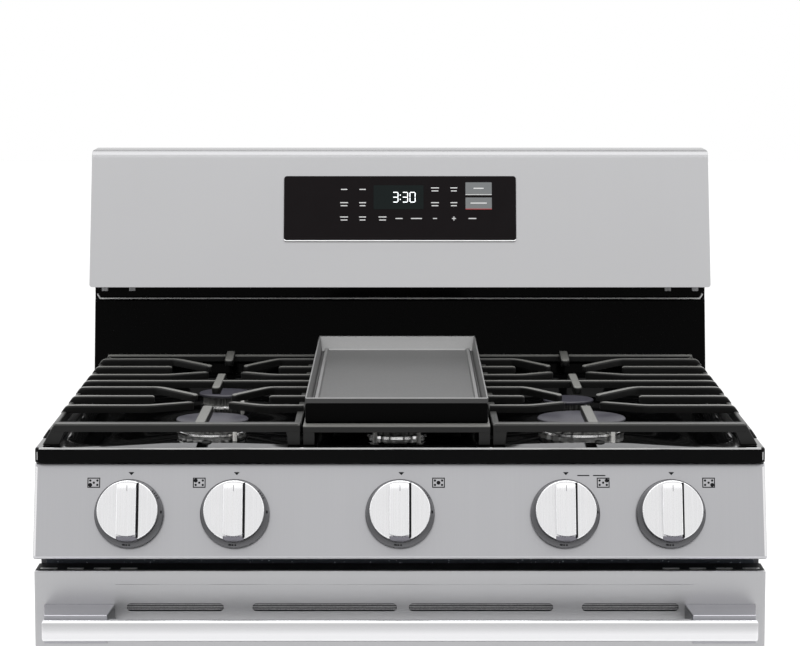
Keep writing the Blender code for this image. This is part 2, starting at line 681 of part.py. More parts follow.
def handle():
    """A flat bar across two wedge-shaped end brackets."""
    front = -REAR_Y
    face = DOOR_FACE_Y - GAP
    rail = box((-0.365, 0.365), (front, front + 0.012), (0.732, 0.754))
    pieces = [rail]
    for side in (-1, 1):
        outline = [(side * 0.3635, face), (side * 0.2970, face), (side * 0.3200, front + 0.006),
                   (side * 0.3635, front + 0.006)]
        pieces.append(prism(outline, "Z", 0.728, 0.758))
    return carve(pieces)


def hinges():
    """The fixed hinge plates with the pins that the door turns on."""
    for side in (-1, 1):
        x = side * HINGE_X
        reach = 0.0065
        outline = [(FLANGE_Y - GAP, HINGE_Z - reach)]
        for step in range(5):
            turn = math.pi * (step / 4 - 0.5)
            outline.append((HINGE_Y - reach * math.cos(turn), HINGE_Z + reach * math.sin(turn)))
        outline.append((FLANGE_Y - GAP, HINGE_Z + reach))
        plate = prism(outline, "X", x - 0.002, x + 0.002)
        pin = prism(circle(PIN_RADIUS, 12, (HINGE_Y, HINGE_Z)), "X", x - 0.009, x + 0.009)
        add(f"hinge_{side_name(side)}", carve([plate, pin]), "steel")


def drawer():
    """The storage drawer: a stainless front on a folded steel box."""
    slide = pivot("drawer_slide", (0, DOOR_FACE_Y, DRAWER_Z[0]))
    back = DOOR_FACE_Y + 0.018
    slab = box((-HALF, HALF), (DOOR_FACE_Y, back), DRAWER_Z)
    edge = 0.012
    height = (DRAWER_Z[0] + edge, DRAWER_Z[1] - edge)
    pocket = box((edge - HALF, HALF - edge), (DOOR_FACE_Y + 0.002, 0), height)
    add("drawer_front", carve([slab], [pocket]), "stainless", slide)
    front = back + GAP
    outer = box((-DRAWER_X, DRAWER_X), (front, 0.25), (0.0625, 0.190))
    inner = box((SHEET - DRAWER_X, DRAWER_X - SHEET), (front + SHEET, 0.25 - SHEET), (0.0640, 0.2))
    add("drawer_box", carve([outer], [inner]), "zinc_sheet", slide)


# Backguard

def guard_y(z):
    """The front of the backguard at a height."""
    share = (z - GUARD_FOOT[1]) / (TOP_Z - GUARD_FOOT[1])
    return GUARD_FOOT[0] + share * (GUARD_TOP_Y - GUARD_FOOT[0])


def backguard():
    """The leaning stainless guard with its glass control, and the enamelled riser below it."""
    foot = GUARD_FOOT[1]
    outline = [(guard_y(foot), foot), (GUARD_TOP_Y, TOP_Z), (REAR_Y, TOP_Z), (REAR_Y, foot)]
    behind = RISER_TOP_Y + 0.003
    inner = [(guard_y(foot) + 0.0025, foot + SHEET), (GUARD_TOP_Y + 0.001, TOP_Z - SHEET),
             (REAR_Y - SHEET, TOP_Z - SHEET), (REAR_Y - SHEET, foot - 0.01), (behind, foot - 0.01),
             (behind, foot + SHEET)]
    hollow = prism(inner, "X", SHEET - HALF, HALF - SHEET)

    def pane(half, low, high, depth):
        """A slab that follows the guard's lean."""
        edge = [(guard_y(low) - 0.0006, low), (guard_y(high) - 0.0006, high), (guard_y(high) + depth, high),
                (guard_y(low) + depth, low)]
        return prism(edge, "X", -half, half)

    low, high = DISPLAY_Z
    hole = moved(pane(DISPLAY_HALF, low, high, 0.02), Matrix.Translation((0, -0.01, 0)))
    add("backguard_shell", carve([prism(outline, "X", -HALF, HALF)], [hollow, hole]), "stainless")
    trim = 0.0005
    add("display_glass", pane(DISPLAY_HALF - trim, low + trim, high - trim, 0.006), "glass")

    top = foot - GAP
    bottom = SKIRT_Z
    riser = [(RISER_FOOT_Y, bottom), (RISER_TOP_Y, top), (REAR_Y, top), (REAR_Y, bottom)]
    inside = [(RISER_FOOT_Y + SHEET, bottom - 0.01), (RISER_TOP_Y + SHEET, top - SHEET),
              (REAR_Y - SHEET, top - SHEET), (REAR_Y - SHEET, bottom - 0.01)]
    half = HALF - 0.001
    hollow = prism(inside, "X", SHEET - half, half - SHEET)
    add("backguard_riser", carve([prism(riser, "X", -half, half)], [hollow]), "black_enamel")


def main():
    for old in list(bpy.data.objects):
        bpy.data.objects.remove(old)
    for side in (-1, 1):
        side_panel(side)
        side_grate(side)
        for name, y in (("front", -0.20), ("rear", 0.31)):
            levelling_foot(f"foot_{name}_{side_name(side)}", side * 0.3575, y)
    back_panel()
    base_frame()
    cooktop_panel()
    for place in burner_places():
        round_burner(*place)
    oval_burner()
    centre_grate_and_griddle()
    control_panel()
    gas_controls()
    gas_supply()
    oven_liner()
    oven_burners()
    convection_fan()
    for name, level in RACK_LEVELS.items():
        rack(name, level)
    door()
    hinges()
    drawer()
    backguard()


main()
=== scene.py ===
"""Looks for the free-standing gas range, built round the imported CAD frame.

Metres, in the CAD's own frame: +Z up, +X to the right, +Y towards the wall.
"""
import math

import bmesh
import bpy
from mathutils import Matrix, Vector


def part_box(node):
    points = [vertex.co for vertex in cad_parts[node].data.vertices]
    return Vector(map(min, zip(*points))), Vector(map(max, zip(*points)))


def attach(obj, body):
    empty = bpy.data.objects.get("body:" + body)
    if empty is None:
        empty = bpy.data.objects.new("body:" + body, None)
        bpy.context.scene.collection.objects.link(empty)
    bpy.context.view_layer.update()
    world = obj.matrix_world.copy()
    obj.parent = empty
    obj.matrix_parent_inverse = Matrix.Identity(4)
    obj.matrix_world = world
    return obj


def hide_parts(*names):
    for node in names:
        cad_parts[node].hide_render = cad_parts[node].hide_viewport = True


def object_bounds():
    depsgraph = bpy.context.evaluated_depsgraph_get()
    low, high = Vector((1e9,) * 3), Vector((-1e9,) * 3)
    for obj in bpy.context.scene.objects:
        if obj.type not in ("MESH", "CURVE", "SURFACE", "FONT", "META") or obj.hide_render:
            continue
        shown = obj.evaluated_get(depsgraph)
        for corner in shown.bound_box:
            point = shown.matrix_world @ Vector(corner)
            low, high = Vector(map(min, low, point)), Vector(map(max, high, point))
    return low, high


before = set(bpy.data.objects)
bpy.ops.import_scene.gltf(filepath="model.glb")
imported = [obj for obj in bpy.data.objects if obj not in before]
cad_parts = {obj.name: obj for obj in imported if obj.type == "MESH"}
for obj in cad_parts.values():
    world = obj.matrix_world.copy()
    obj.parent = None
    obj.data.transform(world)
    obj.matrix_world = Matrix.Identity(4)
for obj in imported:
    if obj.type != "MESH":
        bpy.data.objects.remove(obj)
CAD_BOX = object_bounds()

SIDES = (("left", -1), ("right", 1))

# Sizes of the CAD part
HALF = CAD_BOX[1].x
REAR_Y = CAD_BOX[1].y
TOP_Z = CAD_BOX[1].z
GAP = 0.0004
SHEET = 0.0015

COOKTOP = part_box("cooktop_panel")
RIM_Z = COOKTOP[1].z
SKIRT_Z = RIM_Z - 0.0163
WELL_Z = RIM_Z - 0.030
WELL_X = 0.352
WELL_Y = (-0.270, 0.290)

PANEL_TOP = Vector((0, -0.2830, SKIRT_Z - GAP))
PANEL_FOOT = Vector((0, -0.3160, 0.8069))
PANEL_TILT = math.atan2(PANEL_TOP.z - PANEL_FOOT.z, PANEL_TOP.y - PANEL_FOOT.y)
KNOB_Z = 0.852
KNOB_Y = PANEL_TOP.y - (PANEL_TOP.z - KNOB_Z) / math.tan(PANEL_TILT)
KNOBS = {"left_front": -0.2805, "left_rear": -0.171, "centre": 0.0, "right_rear": 0.171,
         "right_front": 0.2805}

GUARD_FOOT = Vector((0, 0.2656, 1.0300))
GUARD_TOP = Vector((0, 0.3130, TOP_Z))
GUARD_TILT = math.atan2(GUARD_TOP.z - GUARD_FOOT.z, GUARD_TOP.y - GUARD_FOOT.y)

DOOR_FACE_Y = -0.305
DOOR_BACK_Y = -0.268
DOOR_Z = (0.235, 0.7936)
HINGE_Y = -0.284
HINGE_Z = 0.247
HINGE_X = 0.335
FLANGE_Y = -0.2625

# Frames that lean with a face: X to the right, Y up the face, Z out of it
ON_PANEL = Matrix.Translation((0, KNOB_Y, KNOB_Z)) @ Matrix.Rotation(PANEL_TILT, 4, "X")
ON_GUARD = Matrix.Translation(GUARD_FOOT) @ Matrix.Rotation(GUARD_TILT, 4, "X")
ON_DOOR = Matrix.Translation((0, DOOR_FACE_Y, 0)) @ Matrix.Rotation(math.pi / 2, 4, "X")


# Meshes

def finished(bm):
    bmesh.ops.recalc_face_normals(bm, faces=bm.faces)
    mesh = bpy.data.meshes.new("shape")
    bm.to_mesh(mesh)
    bm.free()
    return mesh


def prism(outline, axis, start, end):
    """A flat outline, drawn across an axis and extruded along it."""
    order = {"X": (2, 0, 1), "Y": (0, 2, 1), "Z": (0, 1, 2)}[axis]
    bm = bmesh.new()
    ends = []
    for distance in (start, end):
        points = [(u, v, distance) for u, v in outline]
        ends.append([bm.verts.new([p[k] for k in order]) for p in points])
    near, far = ends
    bm.faces.new(near)
    bm.faces.new(far)
    for k in range(len(outline)):
        bm.faces.new((near[k - 1], near[k], far[k], far[k - 1]))
    return finished(bm)


def box(x, y, z):
    return prism([(x[0], y[0]), (x[1], y[0]), (x[1], y[1]), (x[0], y[1])], "Z", *z)


def span(centre, half):
    """The limits either side of a centre."""
    return (centre - half, centre + half)


def grown(limits, by):
    """Limits moved apart."""
    return (limits[0] - by, limits[1] + by)


def circle(radius, sides, centre=(0, 0)):
    turns = [math.tau * k / sides for k in range(sides)]
    return [(centre[0] + radius * math.cos(a), centre[1] + radius * math.sin(a)) for a in turns]


def rounded(x, y, radius, arc=4, runs=(1, 1)):
    """A rectangle between limits with round corners; runs divides its straight sides along X and Y."""
    corners = [(x[1] - radius, y[1] - radius, 0), (x[0] + radius, y[1] - radius, 1),
               (x[0] + radius, y[0] + radius, 2), (x[1] - radius, y[0] + radius, 3)]
    points = []
    for cx, cy, quarter in corners:
        turns = [(quarter + step / arc) * math.pi / 2 for step in range(arc + 1)]
        points += [(cx + radius * math.cos(a), cy + radius * math.sin(a)) for a in turns]
    dense = []
    for k, point in enumerate(points):
        onward = points[(k + 1) % len(points)]
        corner_end = k % (arc + 1) == arc
        steps = runs[(k // (arc + 1)) % 2] if corner_end else 1
        for step in range(steps):
            share = step / steps
            dense.append((point[0] + (onward[0] - point[0]) * share,
                          point[1] + (onward[1] - point[1]) * share))
    return dense


def oval(half_width, half_length, centre, steps=12):
    """A slot's outline: straight sides along Y and round ends."""
    reach = half_length - half_width
    points = []
    for end, first in ((reach, 0.0), (-reach, math.pi)):
        for k in range(steps + 1):
            turn = first + math.pi * k / steps
            points.append((centre[0] + half_width * math.cos(turn),
                           centre[1] + end + half_width * math.sin(turn)))
    return points


def fluted(outline, centre, depth):
    """Every second pair of an outline's points pulled towards its centre."""
    middle = Vector(centre)
    points = []
    for k, point in enumerate(outline):
        away = Vector(point) - middle
        points.append(tuple(middle + away * (1 - depth / away.length * (k // 2 % 2))))
    return points


def lofted(loops, capped=(True, True), closed=False):
    """A skin over loops of equally many points; closed joins the last loop to the first."""
    bm = bmesh.new()
    rings = [[bm.verts.new(p) for p in loop] for loop in loops]
    if closed:
        rings = [rings[-1]] + rings
        capped = (False, False)
    for last, new in zip(rings, rings[1:]):
        for k in range(len(last)):
            bm.faces.new((last[k - 1], last[k], new[k], new[k - 1]))
    for ring, close in zip((rings[0], rings[-1]), capped):
        if close:
            bm.faces.new(ring)
    return finished(bm)


def turned(profile, sides, centre=(0, 0)):
    """A profile of (radius, height) turned round a vertical axis, closed on the axis."""
    bm = bmesh.new()
    rings = []
    for radius, height in profile:
        if radius == 0:
            rings.append([bm.verts.new((*centre, height))] * sides)
        else:
            rings.append([bm.verts.new((*p, height)) for p in circle(radius, sides, centre)])
    for last, new in zip(rings, rings[1:]):
        for k in range(sides):
            face = list(dict.fromkeys((last[k - 1], last[k], new[k], new[k - 1])))
            if len(face) > 2:
                bm.faces.new(face)
    return finished(bm)


def tube(path, radius, sides=8):
    """A round bar along a path, with mitred corners."""
    points = [Vector(p) for p in path]
    heading = (points[1] - points[0]).normalized()
    across = heading.orthogonal().normalized()
    rise = heading.cross(across)
    ring = [points[0] + u * across + v * rise for u, v in circle(radius, sides)]
    loops = [ring]
    for k in range(1, len(points)):
        heading = (points[k] - points[k - 1]).normalized()
        onward = (points[min(k + 1, len(points) - 1)] - points[k]).normalized()
        mitre = (heading + onward).normalized()
        ring = [p + heading * ((points[k] - p).dot(mitre) / heading.dot(mitre)) for p in ring]
        loops.append(ring)
    return lofted(loops)


def moved(mesh, matrix):
    mesh.transform(matrix)
    return mesh


def softened(mesh, width, segments=3, angle=30):
    """The mesh with its sharp edges rounded."""
    bm = bmesh.new()
    bm.from_mesh(mesh)
    limit = math.radians(angle)
    edges = [e for e in bm.edges if len(e.link_faces) == 2 and e.calc_face_angle() > limit]
    bmesh.ops.bevel(bm, geom=edges, offset=width, segments=segments, profile=0.5,
                    affect="EDGES", clamp_overlap=True)
    return finished(bm)


def joined(meshes):
    """Several closed shells as one mesh."""
    bm = bmesh.new()
    for mesh in meshes:
        bm.from_mesh(mesh)
    return finished(bm)


def carve(pieces, cuts=(), keep=()):
    """One mesh: the pieces joined, cut, and kept only where the keep shapes are."""
    scene = bpy.context.scene.collection
    target = bpy.data.objects.new("target", pieces[0])
    scene.objects.link(target)
    helpers = []
    groups = []
    for operation, meshes in (("UNION", pieces[1:]), ("DIFFERENCE", cuts), ("INTERSECT", keep)):
        if not meshes:
            continue
        group = bpy.data.collections.new(operation)
        scene.children.link(group)
        groups.append(group)
        for mesh in meshes:
            helper = bpy.data.objects.new("helper", mesh)
            group.objects.link(helper)
            helpers.append(helper)
        step = target.modifiers.new(operation, "BOOLEAN")
        step.operation = operation
        step.operand_type = "COLLECTION"
        step.collection = group
    seen = target.evaluated_get(bpy.context.evaluated_depsgraph_get())
    result = bpy.data.meshes.new_from_object(seen)
    for helper in helpers + [target]:
        bpy.data.objects.remove(helper)
    for group in groups:
        bpy.data.collections.remove(group)
    return result


# Materials

LOOKS = {}
BRUSHED = (1400, 4, 4)
NOISE_SPAN = (0.45, 0.95)


def triple(value):
    return value if isinstance(value, tuple) else (value, value, value)


def add(tree, kind, inputs=None, **settings):
    """A shader node; each input is given a value, or the output that feeds it."""
    node = tree.nodes.new("ShaderNode" + kind)
    for key, value in settings.items():
        setattr(node, key, value)
    for key, value in (inputs or {}).items():
        feed(tree, node.inputs[key], value)
    return node


def feed(tree, socket, value):
    if isinstance(value, bpy.types.NodeSocket):
        tree.links.new(value, socket)
    else:
        socket.default_value = value


def shine(tree, key, value):
    """Sets or feeds an input of a material's Principled shader."""
    feed(tree, tree.nodes["Principled BSDF"].inputs[key], value)


def position(tree):
    return add(tree, "TexCoord").outputs["Object"]


def remap(tree, value, start, end, first=0.0, last=1.0):
    """A value carried from one range to another."""
    inputs = {"Value": value, "From Min": start, "From Max": end, "To Min": first, "To Max": last}
    return add(tree, "MapRange", inputs).outputs["Result"]


def between(tree, share, first, second):
    """Two colours mixed by a share."""
    inputs = {0: share, 6: (*first, 1), 7: (*second, 1)}
    return add(tree, "Mix", inputs, data_type="RGBA").outputs[2]


def look(name, colour, roughness, metallic=0.0, scale=60, tint=0.04, spread=0.05,
         bump=0.0, depth=0.0003, **inputs):
    """A Principled material whose colour, roughness and surface follow a noise of its own scale."""
    material = bpy.data.materials.new(name)
    material.use_nodes = True
    tree = material.node_tree
    place = position(tree)
    stretch = add(tree, "Mapping", {"Vector": place, "Scale": triple(scale)}).outputs["Vector"]
    grain = add(tree, "TexNoise", {"Vector": stretch, "Scale": 1.0, "Detail": 5.0}).outputs["Fac"]
    cloud = add(tree, "TexNoise", {"Vector": place, "Scale": 7.0, "Detail": 3.0}).outputs["Fac"]
    both = add(tree, "Math", {0: cloud, 1: 0.4, 2: grain}, operation="MULTIPLY_ADD").outputs["Value"]
    shade = remap(tree, both, *NOISE_SPAN, 1 - tint, 1 + tint)
    paint = add(tree, "VectorMath", {0: triple(colour), "Scale": shade}, operation="SCALE")
    values = {
        "Base Color": paint.outputs["Vector"],
        "Roughness": remap(tree, both, *NOISE_SPAN, max(0.02, roughness - spread), roughness + spread),
        "Metallic": metallic,
    }
    if bump:
        relief = add(tree, "Bump", {"Strength": bump, "Distance": depth, "Height": grain})
        values["Normal"] = relief.outputs["Normal"]
    for key, value in inputs.items():
        values[key.replace("_", " ")] = value
    for key, value in values.items():
        shine(tree, key, value)
    LOOKS[name] = material


def flecked(name, base, fleck, scale, share):
    """Gives a look flecks or crystals of a second colour, from the cells of a Voronoi texture."""
    tree = LOOKS[name].node_tree
    cells = add(tree, "TexVoronoi", {"Vector": position(tree), "Scale": scale}).outputs["Color"]
    chance = add(tree, "SeparateColor", {"Color": cells}).outputs["Red"]
    shine(tree, "Base Color", between(tree, remap(tree, chance, 0.0, share), fleck, base))


def facing_up(name, key, side_value, top_value, start, end):
    """Lets an input of a look change from its walls to the faces that look up; on Base Color this paints the
    tops lit and the walls shaded.
    """
    tree = LOOKS[name].node_tree
    normal = add(tree, "NewGeometry").outputs["Normal"]
    rise = add(tree, "SeparateXYZ", {"Vector": normal}).outputs["Z"]
    if key == "Base Color":
        value = between(tree, remap(tree, rise, start, end), triple(side_value), triple(top_value))
    else:
        value = remap(tree, rise, start, end, side_value, top_value)
    shine(tree, key, value)


def graded(name, stops):
    """Paints light and shade onto a look as a colour that changes with height: stops are (height, grey
    value).
    """
    tree = LOOKS[name].node_tree
    height = add(tree, "SeparateXYZ", {"Vector": position(tree)}).outputs["Z"]
    low, high = stops[0][0], stops[-1][0]
    ramp = add(tree, "ValToRGB", {"Fac": remap(tree, height, low, high)})
    points = ramp.color_ramp.elements
    while len(points) < len(stops):
        points.new(0.5)
    for point, (level, grey) in zip(points, stops):
        point.position = (level - low) / (high - low)
        point.color = (grey, grey, grey * 1.02, 1)
    shine(tree, "Base Color", ramp.outputs["Color"])


def make_looks():
    """Every finish on the object; a single number as a colour is a grey."""
    for name, colour, roughness, tint in (
        ("stainless", (0.43, 0.43, 0.445), 0.30, 0.014),
        # painted light: the guard's steel is a lighter copy of the stainless
        ("guard_steel_painted_light", 0.47, 0.30, 0.010),
        # painted shade: the door and drawer fronts use a darker copy of the stainless
        ("shaded_door_steel", (0.395, 0.395, 0.405), 0.32, 0.014),
        ("bracket_steel_painted_light", (0.64, 0.635, 0.67), 0.30, 0.014),
        ("panel_edge_highlight", (0.80, 0.80, 0.81), 0.22, 0.014),
        # dark metal: painted shade on the knobs' cut grip ends, and the knobs' indicator lines
        ("end_shade_and_line_metal", (0.135, 0.132, 0.150), 0.30, 0.02),
    ):
        look(name, colour, roughness, 1.0, BRUSHED, tint, 0.02)
    # painted shade: a band on the guard's rolled top edge is painted darker
    graded("guard_steel_painted_light", ((1.1000, 0.47), (1.1862, 0.47), (1.1880, 0.26), (1.1935, 0.26), (1.1947, 0.40)))
    # painted light: the brackets' tops are painted light and their walls painted shade
    facing_up("bracket_steel_painted_light", "Base Color", (0.30, 0.30, 0.32), (0.60, 0.595, 0.63), 0.55, 0.95)
    look("glass_edge_highlight", 0.85, 0.30, 0.3, BRUSHED, 0.014, 0.02)
    look("handle_metal", (0.86, 0.86, 0.88), 0.22, 1.0, (4, 1400, 1400), 0.02, 0.04)
    # painted reflection: the handle bar gets a grey band under its top edge and a brighter lower face, graded
    # by height
    graded("handle_metal", ((0.7310, 0.66), (0.7400, 0.70), (0.7452, 0.54), (0.7505, 0.45), (0.7520, 0.78)))
    look("knob_metal", (0.74, 0.74, 0.75), 0.27, 1.0, (900, 4, 4), 0.03, 0.03)
    # dark metal: the knobs' own dark parts, and painted shade on the handle brackets' inner ends
    look("gunmetal_and_painted_shade", (0.10, 0.10, 0.105), 0.38, 1.0, 900, 0.12, 0.06, 0.12, 0.0001)
    look("aluminium", (0.70, 0.70, 0.69), 0.33, 1.0, 260, 0.08, 0.08, 0.15, 0.0002)
    look("shaded_port_metal", (0.17, 0.17, 0.165), 0.42, 1.0, 260, 0.12, 0.08, 0.2, 0.0003)
    look("bright_ring", (0.92, 0.92, 0.91), 0.13, 1.0, 260, 0.04, 0.05)
    look("brass", (0.72, 0.53, 0.24), 0.30, 1.0, 300, 0.08, 0.08, 0.08, 0.0002)
    look("steel", (0.62, 0.62, 0.63), 0.26, 1.0, 300, 0.05, 0.06, 0.05, 0.0001)
    look("zinc_sheet", (0.50, 0.52, 0.53), 0.42, 0.9, 90, 0.06, 0.08, 0.03, 0.0002)
    flecked("zinc_sheet", (0.46, 0.475, 0.485), (0.56, 0.575, 0.59), 95, 1.0)

    look("cap_enamel", (0.042, 0.041, 0.052), 0.40, 0.0, 700, 0.08, 0.05, 0.10, 0.0001,
         Specular_IOR_Level=0.35)
    look("black_enamel", (0.0015, 0.0015, 0.0016), 0.07, 0.0, 140, 0.10, 0.015, 0.02, 0.0002)
    facing_up("black_enamel", "Specular IOR Level", 0.04, 0.28, 0.80, 0.99)
    # painted highlight: grey enamel for the highlight lines on the black enamel's edges
    look("enamel_highlight", 0.26, 0.10, 0.0, 140, 0.05, 0.02, Specular_IOR_Level=1.0,
         Coat_Weight=1.0, Coat_IOR=2.2)
    look("riser_enamel", 0.0008, 0.10, 0.0, 140, 0.10, 0.02, 0.02, 0.0002, Specular_IOR_Level=0.03)
    look("oven_enamel", (0.05, 0.055, 0.065), 0.22, 0.0, 140, 0.05, 0.04, 0.03, 0.0003)
    flecked("oven_enamel", (0.035, 0.04, 0.05), (0.26, 0.28, 0.32), 800, 0.03)
    look("side_paint", (0.055, 0.055, 0.060), 0.34, 0.0, 420, 0.05, 0.05, 0.10, 0.0002)

    wall = (0.0045, 0.0045, 0.0043)
    look("grate_iron", wall, 0.36, 0.0, 650, 0.15, 0.06, 0.16, 0.0002, Specular_IOR_Level=0.24)
    # painted light: the grate's upward faces are painted lighter grey than its black walls
    facing_up("grate_iron", "Base Color", wall, (0.135, 0.135, 0.127), 0.45, 0.90)
    look("rail_iron_lit_tops", wall, 0.40, 0.0, 650, 0.15, 0.06, 0.16, 0.0002, Specular_IOR_Level=0.22)
    # painted light: the rails' tops are painted a little lighter than their walls
    facing_up("rail_iron_lit_tops", "Base Color", wall, (0.045, 0.045, 0.043), 0.45, 0.90)
    look("griddle_iron", 0.105, 0.46, 0.25, 800, 0.06, 0.05, 0.18, 0.0001)
    # painted light and shade on the griddle: lighter iron for its rims, ridges and rear wall, darker iron for
    # its front lip, near-black iron for the skirt in shadow
    look("griddle_rim", 0.24, 0.40, 0.4, 800, 0.06, 0.05, 0.12, 0.0001)
    look("griddle_iron_shaded_lip", 0.030, 0.42, 0.0, 800, 0.06, 0.05, 0.12, 0.0001, Specular_IOR_Level=0.3)
    look("griddle_iron_shadow", 0.0006, 0.5, 0.0, 650, 0.1, 0.05, 0.1, 0.0001, Specular_IOR_Level=0.03)

    look("door_glass", (0.010, 0.010, 0.012), 0.04, tint=0.05, spread=0.01)
    look("inner_glass", (0.022, 0.022, 0.021), 0.05, tint=0.02, spread=0.01)
    look("control_glass", (0.0085, 0.0072, 0.0077), 0.05, tint=0.05, spread=0.01,
         Specular_IOR_Level=0.02)
    look("display_window", (0.005, 0.0080, 0.0080), 0.10, tint=0.05, spread=0.01,
         Specular_IOR_Level=0.1)
    look("digit", (0.9, 0.93, 0.95), 0.4, Emission_Color=(0.92, 0.96, 1, 1), Emission_Strength=0.75)
    look("label_ink", 0.55, 0.5, 0.0, 900, 0.03, 0.03)
    look("key_grey", (0.155, 0.162, 0.165), 0.5, 0.0, 900, 0.03, 0.03, Specular_IOR_Level=0.1)
    look("key_red", (0.35, 0.03, 0.03), 0.5, 0.0, 900, 0.03, 0.03)
    # black for printed marks, the door's black top and the dark backing behind its vents, and painted shadow
    # beside each knob's grip
    look("ink_and_painted_shadow", (0.006, 0.006, 0.007), 0.5, 0.0, 900, 0.05, 0.03, Specular_IOR_Level=0.08)
    look("black_plastic", 0.018, 0.45, 0.0, 700, 0.08, 0.06, 0.15, 0.0002)
    look("ceramic", (0.82, 0.81, 0.78), 0.30, 0.0, 500, 0.03, 0.05, 0.05, 0.0001)
    look("gasket", (0.045, 0.045, 0.047), 0.85, 0.0, 1400, 0.25, 0.08, 0.6, 0.0006)
    look("vent_mesh", (0.20, 0.20, 0.205), 0.40, 0.6, 900, 0.35, 0.06, 0.1, 0.0002)
    look("lamp_glass", (0.92, 0.90, 0.84), 0.18, 0.0, 200, 0.03, 0.05, Transmission_Weight=0.4)
    look("floor_paint", 0.92, 0.85, 0.0, 3, 0.01, 0.05)


# Objects

def shaded(obj):
    obj.data.shade_smooth()
    obj.data.set_sharp_from_angle(angle=math.radians(38))
    normals = obj.modifiers.new("normals", "WEIGHTED_NORMAL")
    normals.keep_sharp = True


def piece(name, mesh, finish, stands_for=(), at=None, body="body"):
    """A named piece in its material, riding on a CAD body."""
    mesh.materials.clear()
    mesh.materials.append(LOOKS[finish])
    obj = bpy.data.objects.new(name, mesh)
    bpy.context.scene.collection.objects.link(obj)
    if at is not None:
        obj.matrix_world = at
    shaded(obj)
    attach(obj, body)
    if stands_for:
        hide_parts(*stands_for)


def dress(node, finish, width):
    """A CAD node in its material, with its edges rounded."""
    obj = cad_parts[node]
    obj.data.materials.clear()
    obj.data.materials.append(LOOKS[finish])
    weld = obj.modifiers.new("weld", "WELD")
    weld.merge_threshold = 0.00005
    soft = obj.modifiers.new("soft", "BEVEL")
    soft.width = width
    soft.segments = 2
    soft.limit_method = "ANGLE"
    soft.angle_limit = math.radians(32)
    normals = obj.modifiers.new("normals", "WEIGHTED_NORMAL")
    normals.keep_sharp = True


def screws(name, places, facing, body, finish="steel", radius=0.0045):
    """Pan-head screws with cross recesses; facing is the matrix that turns +Z outwards."""
    head = turned([(0, 0), (radius, 0), (radius, 0.0006), (radius * 0.85, 0.0017),
                   (radius * 0.5, 0.0022), (0, 0.0023)], 16)
    long, thin = (-radius * 0.55, radius * 0.55), (-0.0004, 0.0004)
    one = carve([head], [box(long, thin, (0.0012, 0.004)), box(thin, long, (0.0012, 0.004))])
    copies = [moved(one.copy(), Matrix.Translation(place) @ facing) for place in places]
    piece(name, joined(copies), finish, body=body)


FRONT = Matrix.Rotation(math.pi / 2, 4, "X")
BACK = Matrix.Rotation(-math.pi / 2, 4, "X")


# Studio

CAMERA_PLACE = (0, -3.2927, 1.3962)
CAMERA_DROP = math.radians(6.573)


def studio():
    """White surroundings, three softboxes, a broad weak sun, the floor and the camera."""
    scene = bpy.context.scene
    scene.view_settings.view_transform = "Standard"
    world = bpy.data.worlds.new("studio")
    scene.world = world
    world.use_nodes = True
    background = world.node_tree.nodes["Background"]
    background.inputs["Color"].default_value = (1, 1, 1, 1)
    background.inputs["Strength"].default_value = 1.0
    softboxes = [  # place, aim, size, power
        ((0, 0.10, 3.8), (0, 0.0, 0.9), (5.0, 3.4), 85),
        ((-3.4, -1.2, 2.6), (0, 0, 0.8), (1.6, 2.4), 18),
        ((3.4, -1.2, 2.6), (0, 0, 0.8), (1.6, 2.4), 18),
    ]
    for k, (place, aim, size, power) in enumerate(softboxes):
        light = bpy.data.lights.new(f"softbox_{k}", "AREA")
        light.shape = "RECTANGLE"
        light.size, light.size_y = size
        light.energy = power
        lamp = bpy.data.objects.new(f"softbox_{k}", light)
        scene.collection.objects.link(lamp)
        lamp.location = place
        lamp.rotation_euler = (Vector(aim) - Vector(place)).to_track_quat("-Z", "Y").to_euler()
    sun = bpy.data.lights.new("sky_glow", "SUN")
    sun.energy = 0.55
    sun.angle = math.radians(60)
    glow = bpy.data.objects.new("sky_glow", sun)
    glow.rotation_euler = (math.radians(20), 0, 0)
    scene.collection.objects.link(glow)
    floor = bpy.data.objects.new("studio_floor", box((-20, 20), (-20, 20), (-0.02, -0.0002)))
    scene.collection.objects.link(floor)
    floor.data.materials.append(LOOKS["floor_paint"])
    camera = bpy.data.cameras.new("camera")
    camera.sensor_width = 36
    camera.lens = 131.8
    camera.clip_end = 100
    view = bpy.data.objects.new("camera", camera)
    scene.collection.objects.link(view)
    view.location = CAMERA_PLACE
    view.rotation_euler = (math.pi / 2 - CAMERA_DROP, 0, 0)
    scene.camera = view


# Backguard

def up_guard(z):
    """How far up the guard's face a height lies."""
    return (z - GUARD_FOOT.z) / math.sin(GUARD_TILT)


DISPLAY_HALF = 0.14275
DISPLAY_V = (up_guard(1.086), up_guard(1.164))


